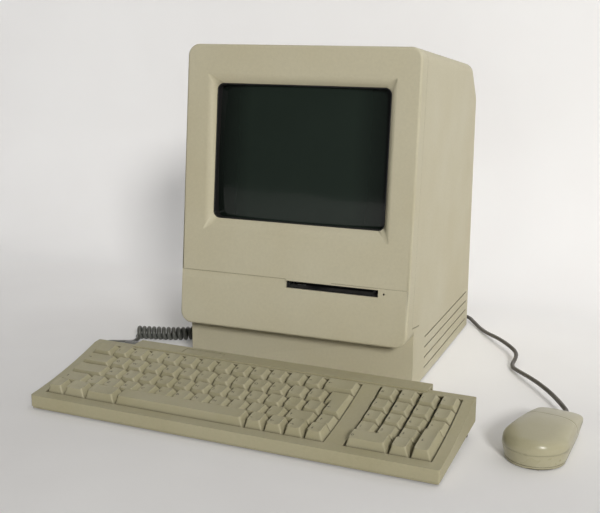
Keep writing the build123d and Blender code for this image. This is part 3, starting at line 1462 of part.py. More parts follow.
with BuildPart() as keys_home_row:
    add(home_caps)
keys_home_row.part.label = "keys_home_row"
export_step(set_place * keyboard_place * keys_home_row.part, "parts/keys_home_row.step")

with BuildPart() as key_shift_left:
    add(shift_left_cap)
key_shift_left.part.label = "key_shift_left"
export_step(set_place * keyboard_place * key_shift_left.part, "parts/key_shift_left.step")

with BuildPart() as keys_lower_row:
    add(lower_caps)
keys_lower_row.part.label = "keys_lower_row"
export_step(set_place * keyboard_place * keys_lower_row.part, "parts/keys_lower_row.step")

with BuildPart() as key_shift_right:
    add(shift_right_cap)
key_shift_right.part.label = "key_shift_right"
export_step(set_place * keyboard_place * key_shift_right.part, "parts/key_shift_right.step")

with BuildPart() as keys_cursor:
    add(cursor_caps)
keys_cursor.part.label = "keys_cursor"
export_step(set_place * keyboard_place * keys_cursor.part, "parts/keys_cursor.step")

with BuildPart() as key_caps_lock:
    add(caps_lock_cap)
key_caps_lock.part.label = "key_caps_lock"
export_step(set_place * keyboard_place * key_caps_lock.part, "parts/key_caps_lock.step")

with BuildPart() as key_option:
    add(option_cap)
key_option.part.label = "key_option"
export_step(set_place * keyboard_place * key_option.part, "parts/key_option.step")

with BuildPart() as key_command:
    add(command_cap)
key_command.part.label = "key_command"
export_step(set_place * keyboard_place * key_command.part, "parts/key_command.step")

with BuildPart() as space_bar:
    add(space_cap)
space_bar.part.label = "space_bar"
export_step(set_place * keyboard_place * space_bar.part, "parts/space_bar.step")

with BuildPart() as keys_keypad:
    add(keypad_caps)
keys_keypad.part.label = "keys_keypad"
export_step(set_place * keyboard_place * keys_keypad.part, "parts/keys_keypad.step")

with BuildPart() as key_keypad_enter:
    add(enter_cap)
key_keypad_enter.part.label = "key_keypad_enter"
export_step(set_place * keyboard_place * key_keypad_enter.part, "parts/key_keypad_enter.step")

with BuildPart() as power_key:
    with Locations((power_key_middle_x, power_key_middle_y, ridge_height)):
        Box(power_key_width, power_key_depth, power_key_thickness,
            align=(Align.CENTER, Align.CENTER, Align.MAX))
        Box(stem_width, stem_depth, power_key_thickness + 2 * power_key_travel + stem_reach,
            align=(Align.CENTER, Align.CENTER, Align.MAX))
power_key.part.label = "power_key"
export_step(set_place * keyboard_place * power_key.part, "parts/power_key.step")

# middles of all the stems, on the key plane
stem_places = [((left + width / 2) * key_pitch, (row + 0.5) * key_pitch)
               for row, units in (
                   (number_row, number_units + [(13.25, 1.75)]),
                   (upper_row, upper_units + [(0, 1.75)]),
                   (home_row, home_units + [(0, 2)]),
                   (shift_row, lower_units + [(0, 1.5), (12.5, 1.5), (14, 1)]),
                   (front_row, cursor_units + [(0, 1), (1, 1.25), (2.25, 1.75), (4, 7)]),
                   (number_row, [(pad_unit + place, 1) for place in range(4)]),
                   (upper_row, [(pad_unit + place, 1) for place in range(4)]),
                   (home_row, [(pad_unit + place, 1) for place in range(4)]),
                   (shift_row, [(pad_unit + place, 1) for place in range(3)]),
                   (front_row, [(pad_unit, 2), (pad_unit + 2, 1)]),
               )
               for left, width in units]
stem_places += [(return_middle * key_pitch, upper_row * key_pitch),
                ((pad_unit + pad_units - 0.5) * key_pitch, key_pitch)]

with BuildPart() as key_switches:
    with BuildSketch(key_plane.offset(-backplate_top)):
        with Locations(*stem_places):
            Rectangle(switch_size, switch_size)
        with Locations(*stem_places):
            Rectangle(stem_width + 2 * stem_clearance, stem_depth + 2 * stem_clearance, mode=Mode.SUBTRACT)
    extrude(amount=backplate_top - switch_top)
key_switches.part.label = "key_switches"
export_step(set_place * keyboard_place * key_switches.part, "parts/key_switches.step")

plate_width = pad_start + pad_width + keyboard_wall
plate_posts = [(x, y) for x in plate_post_x for y in plate_post_y]
with BuildPart() as key_backplate:
    with BuildSketch(key_plane.offset(-backplate_top - backplate_thickness)):
        with Locations(((plate_width - keyboard_wall) / 2, well_depth / 2)):
            Rectangle(plate_width, well_depth)
    extrude(amount=backplate_thickness)
    with BuildSketch(key_plane.offset(-backplate_top - backplate_thickness / 2)):
        with Locations(*plate_posts):
            Circle(standoff_radius)
    extrude(amount=-rear_height)
    split(bisect_by=tray_over, keep=Keep.TOP)
key_backplate.part.label = "key_backplate"
export_step(set_place * keyboard_place * key_backplate.part, "parts/key_backplate.step")

# --------------------------------------------------------------------------- mouse

mouse_place = Location((mouse_x, mouse_y, 0), (0, 0, mouse_turn))
palm_radius = mouse_width / 2
lead_end = mouse_length / 2
palm_middle = palm_radius - lead_end
nose_half = nose_width / 2
hump = (                        # the top's height along the mouse
    (-lead_end, 0.57 * mouse_height),
    (-0.96 * lead_end, 0.76 * mouse_height),
    (-0.85 * lead_end, 0.90 * mouse_height),
    (-0.6 * lead_end, 0.975 * mouse_height),
    (-0.25 * lead_end, mouse_height),
    (0.1 * lead_end, 0.967 * mouse_height),
    (0.6 * lead_end, 0.82 * mouse_height),
    (0.9 * lead_end, 0.67 * mouse_height),
    (lead_end, 0.57 * mouse_height),
)
crown = (                       # and across it, as shares of its half width
    (0, mouse_height),
    (0.42, 0.978 * mouse_height),
    (0.775, 0.9 * mouse_height),
    (0.93, 0.78 * mouse_height),
    (1, 0.58 * mouse_height),
)
mouse_floor_top = mouse_skate + ring_thickness + mouse_wall
button_rise = math.radians(button_swing)
pivot_y = button_seam + pivot_behind_seam


def mouse_plan(inset):
    """Plan of the mouse: a round palm end and a squarer end where the lead leaves."""
    with BuildSketch() as plan:
        with BuildLine():
            RadiusArc((nose_corner - palm_radius, palm_middle), (palm_radius - nose_corner, palm_middle),
                      -(palm_radius - nose_corner))
            Polyline(
                (palm_radius - nose_corner, palm_middle),
                (nose_half - nose_corner, lead_end - nose_corner),
                (nose_corner - nose_half, lead_end - nose_corner),
                (nose_corner - palm_radius, palm_middle),
            )
        make_face()
        offset(amount=nose_corner - inset, kind=Kind.ARC)
    return plan.sketch


def mouse_form(inset):
    """Upper part of the mouse, from the split line up, drawn in by inset."""
    half_width = palm_radius - inset
    side_z = crown[-1][1] - inset
    right_side = [(across * half_width, up - inset) for across, up in crown]
    left_side = [(-across, up) for across, up in reversed(right_side[1:])]
    with BuildPart() as form:
        with BuildSketch(Plane.YZ.offset(-mouse_width)):
            with BuildLine():
                Polyline(
                    (-lead_end, hump[0][1] - inset),
                    (-lead_end, mouse_split),
                    (lead_end, mouse_split),
                    (lead_end, hump[-1][1] - inset),
                )
                Spline(*[(along, up - inset) for along, up in hump])
            make_face()
        extrude(amount=2 * mouse_width)
        with BuildSketch():
            add(mouse_plan(inset))
        extrude(amount=2 * mouse_height, mode=Mode.INTERSECT)
        with BuildSketch(Plane.XZ.offset(-mouse_length)):
            with BuildLine():
                Spline(*left_side, *right_side)
                Polyline((half_width, side_z), (half_width, 0), (-half_width, 0), (-half_width, side_z))
            make_face()
        extrude(amount=2 * mouse_length, mode=Mode.INTERSECT)
    return form.part


mouse_outside = mouse_form(0)
mouse_inside = mouse_form(mouse_wall)
outside_plan = mouse_plan(0)
inside_plan = mouse_plan(mouse_wall)
base_foot_plan = mouse_plan(base_taper)
base_floor_plan = mouse_plan(base_taper + mouse_wall)
lip_level = (lip_groove_low + lip_groove_high) / 2 - mouse_skate
lip_plan = mouse_plan(base_taper * (1 - lip_level / (mouse_split - mouse_skate)) + lip_groove)

with BuildPart() as mouse_shell:
    add(mouse_outside)
    add(mouse_inside, mode=Mode.SUBTRACT)
    with Locations((0, button_seam - mouse_gap / 2, 0)):
        Box(2 * mouse_width, mouse_length, 3 * mouse_height, align=(Align.CENTER, Align.MIN, Align.CENTER),
            mode=Mode.SUBTRACT)
mouse_shell.part.label = "mouse_shell"
export_step(set_place * mouse_place * mouse_shell.part, "parts/mouse_shell.step")

with BuildPart() as mouse_button:
    add(mouse_outside)
    add(mouse_inside, mode=Mode.SUBTRACT)
    with Locations((0, button_seam + mouse_gap / 2, 0)):
        Box(2 * mouse_width, mouse_length, 3 * mouse_height, align=(Align.CENTER, Align.MAX, Align.CENTER),
            mode=Mode.SUBTRACT)
    # web down to the pivot
    with Locations((0, pivot_y, pivot_z)):
        Box(2 * ear_x - 2 * ear_thickness, 2 * pivot_radius + mouse_wall / 2, mouse_height,
            align=(Align.CENTER, Align.CENTER, Align.MIN))
    add(mouse_outside, mode=Mode.INTERSECT)
    with BuildSketch(Plane.YZ.offset(-ear_x - ear_thickness / 2)):
        with Locations((pivot_y, pivot_z)):
            Circle(pivot_radius)
    extrude(amount=2 * ear_x + ear_thickness)
    # the lower rim rises towards the front by the button's swing
    with BuildSketch(Plane.YZ.offset(-mouse_width)):
        with BuildLine():
            Polyline(
                (button_seam, 0),
                (mouse_length, 0),
                (mouse_length, mouse_split + mouse_gap + mouse_length * math.tan(button_rise)),
                (button_seam, mouse_split + mouse_gap),
                close=True,
            )
        make_face()
    extrude(amount=2 * mouse_width, mode=Mode.SUBTRACT)
mouse_button.part.label = "mouse_button"
export_step(set_place * mouse_place * mouse_button.part, "parts/mouse_button.step")

with BuildPart() as mouse_base:
    with BuildSketch(Plane.XY.offset(mouse_skate)):
        add(base_foot_plan)
    with BuildSketch(Plane.XY.offset(mouse_split)):
        add(outside_plan)
    loft()
    with BuildSketch(Plane.XY.offset(mouse_floor_top)):
        add(base_floor_plan)
    with BuildSketch(Plane.XY.offset(mouse_split)):
        add(inside_plan)
    loft(mode=Mode.SUBTRACT)
    with BuildSketch(Plane.XY.offset(mouse_skate)):
        with Locations((0, ball_back)):
            Circle(ball_radius + ball_clearance + mouse_wall)
    extrude(amount=mouse_split - mouse_skate)
    with BuildSketch(Plane.XY.offset(lip_groove_low)):
        Rectangle(2 * mouse_width, 2 * mouse_length)
        add(lip_plan, mode=Mode.SUBTRACT)
    extrude(amount=lip_groove_high - lip_groove_low, mode=Mode.SUBTRACT)
    with BuildSketch(Plane.XY):
        with Locations((0, -skate_y), (0, skate_y)):
            Rectangle(skate_width, skate_depth)
    extrude(amount=mouse_skate)
    with BuildSketch(Plane.XY):
        with Locations((0, ball_back)):
            Circle(ring_radius + shaft_clearance)
    extrude(amount=mouse_skate + ring_thickness, mode=Mode.SUBTRACT)
    with BuildSketch(Plane.XY):
        with Locations((0, ball_back)):
            Circle(ball_radius + ball_clearance)
    extrude(amount=mouse_height, mode=Mode.SUBTRACT)
    # ears for the button's pivot
    with Locations((0, pivot_y + mouse_wall / 2, mouse_floor_top - mouse_wall / 2)):
        with GridLocations(2 * ear_x, 0, 2, 1):
            Box(ear_thickness, ear_depth, pivot_z + ear_top - mouse_floor_top + mouse_wall / 2,
                align=(Align.CENTER, Align.CENTER, Align.MIN))
    with BuildSketch(Plane.YZ.offset(-2 * ear_x)):
        with Locations((pivot_y, pivot_z)):
            Circle(pivot_radius + shaft_clearance)
    extrude(amount=4 * ear_x, mode=Mode.SUBTRACT)
    with BuildSketch(Plane.XZ.offset(-(lead_end - 2 * mouse_wall - base_taper))):
        with Locations((0, mouse_lead_height)):
            Circle(relief_radius + shaft_clearance)
    extrude(amount=-2 * relief_length, mode=Mode.SUBTRACT)
mouse_base.part.label = "mouse_base"
export_step(set_place * mouse_place * mouse_base.part, "parts/mouse_base.step")

with BuildPart() as mouse_ball:
    with Locations((0, ball_back, ball_radius)):
        Sphere(ball_radius)
mouse_ball.part.label = "mouse_ball"
export_step(set_place * mouse_place * mouse_ball.part, "parts/mouse_ball.step")

with BuildPart() as mouse_ball_ring:
    with BuildSketch(Plane.XY.offset(mouse_skate)):
        with Locations((0, ball_back)):
            Circle(ring_radius)
            Circle(ring_hole_radius, mode=Mode.SUBTRACT)
    extrude(amount=ring_thickness)
mouse_ball_ring.part.label = "mouse_ball_ring"
export_step(set_place * mouse_place * mouse_ball_ring.part, "parts/mouse_ball_ring.step")

relief_end = lead_end + relief_length
with BuildPart() as mouse_strain_relief:
    with BuildSketch(Plane.XZ.offset(-(lead_end - mouse_wall - base_taper))):
        with Locations((0, mouse_lead_height)):
            Circle(relief_radius)
    extrude(amount=-(relief_length + mouse_wall + base_taper))
    # grooves that let it bend
    for groove in range(1, relief_groove_count + 1):
        with BuildSketch(Plane.XZ.offset(-(relief_end - relief_groove_pitch * groove))):
            with Locations((0, mouse_lead_height)):
                Circle(relief_radius)
                Circle(relief_radius - relief_groove_depth, mode=Mode.SUBTRACT)
        extrude(amount=-relief_groove_width, mode=Mode.SUBTRACT)
mouse_strain_relief.part.label = "mouse_strain_relief"
export_step(set_place * mouse_place * mouse_strain_relief.part, "parts/mouse_strain_relief.step")

# --------------------------------------------------------------------------- feet, plugs and leads

keyboard_pads = [(keyboard_place * Location((x, front_pad_y, 0))).position
                 for x in (front_pad_inset, keyboard_width - front_pad_inset)]
front_pad_height = keyboard_floor_front + (front_pad_y - front_pad_radius) * math.tan(tray_slope)
with BuildPart() as rubber_feet:
    with BuildSketch():
        for place_y in (pad_front, pad_rear):
            with Locations((0, place_y)):
                with GridLocations(2 * pad_x, 0, 2, 1):
                    Circle(pad_radius)
    extrude(amount=foot_gap)
    with BuildSketch():
        for place in keyboard_pads:
            with Locations((place.X, place.Y)):
                Circle(front_pad_radius)
    extrude(amount=front_pad_height)
rubber_feet.part.label = "rubber_feet"
export_step(set_place * rubber_feet.part, "parts/rubber_feet.step")


def plug(socket_plane):
    """A round plug pushed into a socket whose face lies on the plane."""
    with BuildPart() as form:
        with BuildSketch(socket_plane.offset(plug_stand)):
            Circle(plug_radius)
        extrude(amount=plug_length)
        with BuildSketch(socket_plane.offset(plug_stand + plug_length)):
            Circle(plug_neck_radius)
        extrude(amount=plug_neck_length)
        with BuildSketch(socket_plane.offset(plug_stand)):
            Circle(plug_barrel_radius)
        extrude(amount=-(plug_barrel_length + plug_stand))
    return form.part


def bend_radii(points):
    """For each inner point of a route, 0.45 of its shorter run over the tangent of half its turn."""
    radii = []
    for before, at, after in zip(points, points[1:], points[2:]):
        run_in, run_out = at - before, after - at
        half_turn = math.radians(run_in.get_angle(run_out)) / 2
        radii.append(0.45 * min(run_in.length, run_out.length) / math.tan(half_turn))
    return radii


plug_reach = plug_stand + plug_length + plug_neck_length
keyboard_plug_plane = Plane(
    origin=(ridge_left, keyboard_socket_back, keyboard_socket_height), x_dir=(0, 1, 0), z_dir=(-1, 0, 0)
)
computer_plug_plane = Plane(
    origin=(bus_socket_x[0], socket_face_y, socket_middle_z), x_dir=(-1, 0, 0), z_dir=(0, 1, 0)
)
mouse_plug_plane = Plane(
    origin=(bus_socket_x[1], socket_face_y, socket_middle_z), x_dir=(-1, 0, 0), z_dir=(0, 1, 0)
)
keyboard_plug_form = plug(keyboard_plug_plane)
computer_plug_form = plug(computer_plug_plane)
mouse_plug_form = plug(mouse_plug_plane)

with BuildPart() as keyboard_plug:
    add(keyboard_plug_form)
keyboard_plug.part.label = "keyboard_plug"
export_step(set_place * keyboard_place * keyboard_plug.part, "parts/keyboard_plug.step")

with BuildPart() as computer_plug:
    add(computer_plug_form)
computer_plug.part.label = "computer_plug"
export_step(set_place * computer_plug.part, "parts/computer_plug.step")

with BuildPart() as mouse_plug:
    add(mouse_plug_form)
mouse_plug.part.label = "mouse_plug"
export_step(set_place * mouse_plug.part, "parts/mouse_plug.step")

# the keyboard's lead leaves its plug to the left, turns back and comes down to the curl on the desk
near_start = Vector(ridge_left - plug_reach, keyboard_socket_back, keyboard_socket_height)
near_bends = [
    near_start,
    near_start + Vector(-9.4, 0, 0),
    near_start + Vector(-17.8, 4.6, -1.4),
    near_start + Vector(-23.0, 13.4, -4.2),
    near_start + Vector(-23.5, 30.0, -9.5),
    near_start + Vector(-26.0, 57.0, -18.0),
    near_start + Vector(-34.5, 81.0, -25.5),
]
near_end = Vector(-215.4, 68.1, 2.6)
near_points = [(keyboard_place * Location(point)).position for point in near_bends] + [near_end]
near_radii = bend_radii(near_points)
print("near lead radii", [round(radius, 1) for radius in near_radii])

with BuildPart() as keyboard_lead:
    with BuildLine() as near_route:
        FilletPolyline(*near_points, radius=near_radii)
    with BuildSketch(Plane(origin=near_route.line @ 0, z_dir=near_route.line % 0)):
        Circle(lead_diameter / 2)
    sweep()
keyboard_lead.part.label = "keyboard_lead"
print("near lead", near_route.wire().length, keyboard_lead.part.volume, keyboard_lead.part.is_valid)
export_step(set_place * keyboard_lead.part, "parts/keyboard_lead.step")

curl_height = curl_diameter / 2
curl_points = [
    Vector(-219.5, 72.5, curl_height),
    Vector(-194.0, 78.6, curl_height),
    Vector(-168.0, 86.3, curl_height),
    Vector(-148.1, 103.0, curl_height),
    Vector(-136.7, 126.4, curl_height),
    Vector(-133.6, 156.2, curl_height),
    Vector(-135.0, 196.0, curl_height),
    Vector(-138.5, 232.0, curl_height),
    Vector(-138.5, 262.0, curl_height),
]
curl_radii = bend_radii(curl_points)
print("curl radii", [round(radius, 1) for radius in curl_radii])

with BuildPart() as keyboard_curl:
    with BuildLine() as curl_route:
        FilletPolyline(*curl_points, radius=curl_radii)
    with BuildSketch(Plane(origin=curl_route.line @ 0, z_dir=curl_route.line % 0)):
        Circle(curl_diameter / 2)
    sweep()
keyboard_curl.part.label = "keyboard_curl"
print("curl", curl_route.wire().length, keyboard_curl.part.volume, keyboard_curl.part.is_valid)
export_step(set_place * keyboard_curl.part, "parts/keyboard_curl.step")

far_end = Vector(bus_socket_x[0], socket_face_y + plug_reach, socket_middle_z)
far_points = [
    Vector(-138.5, 262.0, curl_height),
    Vector(-138.5, 280.0, curl_height),
    Vector(-134.5, 300.0, 6.0),
    Vector(-122.5, 316.5, 6.5),
    Vector(-107.0, 321.5, 10.0),
    Vector(-93.5, 316.5, 15.0),
    Vector(bus_socket_x[0], 304.5, socket_middle_z),
    far_end,
]
far_radii = bend_radii(far_points)
print("far lead radii", [round(radius, 1) for radius in far_radii])

with BuildPart() as keyboard_far_lead:
    with BuildLine() as far_route:
        FilletPolyline(*far_points, radius=far_radii)
    with BuildSketch(Plane(origin=far_route.line @ 0, z_dir=far_route.line % 0)):
        Circle(lead_diameter / 2)
    sweep()
keyboard_far_lead.part.label = "keyboard_far_lead"
print("far lead", far_route.wire().length, keyboard_far_lead.part.volume, keyboard_far_lead.part.is_valid)
export_step(set_place * keyboard_far_lead.part, "parts/keyboard_far_lead.step")

mouse_start = (mouse_place * Location((0, relief_end, mouse_lead_height))).position
mouse_points = [
    mouse_start,
    (mouse_place * Location((0, relief_end + mouse_lead_exit, mouse_lead_height))).position,
    Vector(269.4, 24.0, 9.0),
    Vector(259.6, 41.5, 10.0),
    Vector(248.6, 59.0, 10.5),
    Vector(232.0, 83.0, 10.0),
    Vector(212.0, 113.0, 6.0),
    Vector(200.0, 136.0, 2.3),
    Vector(202.5, 152.0, 7.0),
    Vector(200.0, 165.0, 9.0),
    Vector(189.3, 180.0, 10.5),
    Vector(172.6, 205.5, 9.0),
    Vector(155.0, 231.0, 5.0),
    Vector(141.0, 256.0, 2.3),
    Vector(131.5, 270.0, 4.0),
    Vector(120.0, 284.0, 7.0),
    Vector(98.0, 297.0, 4.5),
    Vector(64.0, 308.0, 2.3),
    Vector(28.0, 321.0, 2.3),
    Vector(-6.0, 327.0, 4.5),
    Vector(-32.0, 325.0, 10.0),
    Vector(-49.0, 315.5, 16.0),
    Vector(bus_socket_x[1], 303.5, socket_middle_z),
    Vector(bus_socket_x[1], socket_face_y + plug_reach, socket_middle_z),
]
mouse_radii = bend_radii(mouse_points)
print("mouse lead radii", [round(radius, 1) for radius in mouse_radii])

with BuildPart() as mouse_lead:
    with BuildLine() as mouse_route:
        FilletPolyline(*mouse_points, radius=mouse_radii)
    with BuildSketch(Plane(origin=mouse_route.line @ 0, z_dir=mouse_route.line % 0)):
        Circle(mouse_lead_diameter / 2)
    sweep()
mouse_lead.part.label = "mouse_lead"
print("mouse lead", mouse_route.wire().length, mouse_lead.part.volume, mouse_lead.part.is_valid)
export_step(set_place * mouse_lead.part, "parts/mouse_lead.step")
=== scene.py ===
"""Finishes and fine pieces of a desk computer set: case, screen, keyboard, mouse and leads. Metres."""

import json
import logging
import math
from dataclasses import dataclass
from enum import Enum

import bmesh
import bpy
import numpy as np
from mathutils import Matrix, Vector
from mathutils.bvhtree import BVHTree

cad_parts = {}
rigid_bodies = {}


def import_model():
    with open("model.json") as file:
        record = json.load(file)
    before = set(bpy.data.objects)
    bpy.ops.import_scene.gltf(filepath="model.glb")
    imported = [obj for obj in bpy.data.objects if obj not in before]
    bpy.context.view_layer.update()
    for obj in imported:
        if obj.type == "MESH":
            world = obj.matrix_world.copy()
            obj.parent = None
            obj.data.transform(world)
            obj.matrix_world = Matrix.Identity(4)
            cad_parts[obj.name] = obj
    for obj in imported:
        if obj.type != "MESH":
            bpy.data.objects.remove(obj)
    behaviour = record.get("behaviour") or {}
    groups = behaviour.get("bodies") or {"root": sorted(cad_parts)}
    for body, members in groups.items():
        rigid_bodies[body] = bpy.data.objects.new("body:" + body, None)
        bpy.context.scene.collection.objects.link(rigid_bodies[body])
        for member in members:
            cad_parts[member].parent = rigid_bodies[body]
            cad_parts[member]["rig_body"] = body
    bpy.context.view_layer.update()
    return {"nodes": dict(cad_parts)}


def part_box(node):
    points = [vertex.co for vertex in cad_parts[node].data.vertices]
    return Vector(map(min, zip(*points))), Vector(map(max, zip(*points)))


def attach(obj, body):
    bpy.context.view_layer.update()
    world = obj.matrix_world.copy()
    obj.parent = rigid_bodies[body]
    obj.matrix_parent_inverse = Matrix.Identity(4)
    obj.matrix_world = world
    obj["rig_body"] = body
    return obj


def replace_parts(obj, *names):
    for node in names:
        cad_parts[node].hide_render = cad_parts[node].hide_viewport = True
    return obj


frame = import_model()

logging.basicConfig(level=logging.INFO, format="%(message)s")
log = logging.getLogger("desk_set")

MM = 0.001
ORIGIN = Vector((0.047435, 0.059343, 0.0))      # the set's own origin, seen from the middle of the case
Colour = tuple[float, float, float]


# ------------------------------------------------------------------------------------------ places


@dataclass(frozen=True)
class Place:
    """Where a sub-assembly stands on the desk: a point and a turn about the vertical."""

    x: float = 0.0
    y: float = 0.0
    turn: float = 0.0

    def matrix(self) -> Matrix:
        """Matrix from the sub-assembly's own frame to the set's frame."""
        stand = Matrix.Translation(Vector((self.x, self.y, 0.0)) - ORIGIN)
        return stand @ Matrix.Rotation(math.radians(self.turn), 4, "Z")

    def point(self, x: float, y: float, z: float) -> Vector:
        """Point of the sub-assembly's own frame, in the set's frame."""
        return self.matrix() @ Vector((x, y, z))


COMPUTER = Place()
KEYBOARD = Place(x=-0.201, y=-0.1522, turn=-1.78)
MOUSE = Place(x=0.2642, y=-0.0567, turn=-8.5)

FACE_LEAN = math.radians(6.46)
FACE_FOOT = 0.0527                              # height of the front face's lower edge
FACE_ROWS = (
    (1.0, 0.0, 0.0, 0.0),
    (0.0, math.sin(FACE_LEAN), math.cos(FACE_LEAN), 0.0),
    (0.0, math.cos(FACE_LEAN), -math.sin(FACE_LEAN), FACE_FOOT),
    (0.0, 0.0, 0.0, 1.0),
)
FACE = COMPUTER.matrix() @ Matrix(FACE_ROWS)    # across, up the face, depth behind it


# ------------------------------------------------------------------------------------------ meshes


def grid_faces(rows: int, columns: int, wrap: bool = False) -> list[tuple[int, int, int, int]]:
    """Quads of a grid whose points are numbered row by row.

    Args:
        rows: number of rows of points.
        columns: number of points in a row.
        wrap: whether the last column joins the first.

    Returns:
        The quads, as four point numbers each.
    """
    last = columns if wrap else columns - 1
    row, column = np.meshgrid(np.arange(rows - 1), np.arange(last), indexing="ij")
    beside = (column + 1) % columns
    here, next_row = row * columns, (row + 1) * columns
    quads = np.stack([here + column, here + beside, next_row + beside, next_row + column], axis=-1)
    return [tuple(quad) for quad in quads.reshape(-1, 4).tolist()]


def add_mesh(name: str, points: np.ndarray, faces: list, outward: bool = True) -> bpy.types.Object:
    """Put points and faces into a new smooth-shaded mesh object at the origin.

    Args:
        name: the piece's name.
        points: array of points, three numbers each.
        faces: lists of point numbers.
        outward: whether doubles are merged and normals turned outwards.

    Returns:
        The object, linked to the scene.
    """
    mesh = bpy.data.meshes.new(name)
    mesh.from_pydata(points.reshape(-1, 3).tolist(), [], faces)
    if outward:
        shape = bmesh.new()
        shape.from_mesh(mesh)
        bmesh.ops.remove_doubles(shape, verts=shape.verts, dist=1e-6)
        bmesh.ops.recalc_face_normals(shape, faces=shape.faces)
        shape.to_mesh(mesh)
        shape.free()
    mesh.polygons.foreach_set("use_smooth", np.ones(len(mesh.polygons), dtype=bool))
    piece = bpy.data.objects.new(name, mesh)
    bpy.context.scene.collection.objects.link(piece)
    return piece


def sharpen(piece: bpy.types.Object, degrees: float) -> None:
    """Mark the edges where the surface turns by more than the angle as sharp."""
    piece.data.set_sharp_from_angle(angle=math.radians(degrees))


def place_points(points: np.ndarray, matrix: Matrix) -> np.ndarray:
    """Points carried by a matrix; the last axis holds x, y and z."""
    turn = np.array(matrix.to_3x3())
    return points @ turn.T + np.array(matrix.translation)


def superellipse(angle: np.ndarray, half_width: float, half_height: float, power: float) -> np.ndarray:
    """Points of a superellipse: each of cosine and sine raised to 2 / power, its sign kept."""
    across, up = np.cos(angle), np.sin(angle)
    return np.stack(
        [
            half_width * np.sign(across) * np.abs(across) ** (2 / power),
            half_height * np.sign(up) * np.abs(up) ** (2 / power),
        ],
        axis=-1,
    )


def revolved(name: str, profile: list[tuple[float, float]], start: Vector, along: Vector,
             segments: int = 32) -> bpy.types.Object:
    """Turn a profile about an axis: a point (a, r) lies a along the axis and r from it, all round.

    Args:
        name: the piece's name.
        profile: distances along the axis and from it; it starts and ends on the axis to close the shape.
        start: where the axis begins.
        along: the axis's direction.
        segments: points in each ring.

    Returns:
        The piece.
    """
    axis = along.normalized()
    side = axis.orthogonal().normalized()
    other = axis.cross(side)
    turn = np.linspace(0, 2 * math.pi, segments, endpoint=False)
    ring = np.outer(np.cos(turn), side) + np.outer(np.sin(turn), other)
    steps, radii = np.array(profile).T
    points = np.array(start) + steps[:, None, None] * np.array(axis) + radii[:, None, None] * ring[None]
    return add_mesh(name, points, grid_faces(len(profile), segments, wrap=True))


def smooth_copy(node: str, name: str, degrees: float = 32.0) -> bpy.types.Object:
    """Copy a solid's mesh, merge its points and shade it smooth up to an angle, in the solid's place.

    Args:
        node: the solid's name.
        name: the copy's name.
        degrees: edges that turn more than this stay sharp.

    Returns:
        The copy, riding on the solid's body.
    """
    mesh = frame["nodes"][node].data.copy()
    shape = bmesh.new()
    shape.from_mesh(mesh)
    bmesh.ops.remove_doubles(shape, verts=shape.verts, dist=2e-6)
    bmesh.ops.dissolve_degenerate(shape, edges=shape.edges, dist=1e-7)
    bmesh.ops.dissolve_limit(shape, angle_limit=math.radians(0.2), verts=shape.verts, edges=shape.edges)
    shape.to_mesh(mesh)
    shape.free()
    mesh.materials.clear()
    mesh.polygons.foreach_set("use_smooth", np.ones(len(mesh.polygons), dtype=bool))
    piece = bpy.data.objects.new(name, mesh)
    bpy.context.scene.collection.objects.link(piece)
    sharpen(piece, degrees)
    weights = piece.modifiers.new("even_shading", "WEIGHTED_NORMAL")
    weights.keep_sharp = True
    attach(piece, body_of(node))
    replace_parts(piece, node)
    return piece


def body_of(node: str) -> str:
    """Name of the body that a solid belongs to."""
    return frame["nodes"][node]["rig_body"]


def surface_tree(node: str) -> BVHTree:
    """Search tree of a solid's faces, to drop points onto."""
    shape = bmesh.new()
    shape.from_mesh(frame["nodes"][node].data)
    tree = BVHTree.FromBMesh(shape)
    shape.free()
    return tree


# ------------------------------------------------------------------------------------------ shader nodes


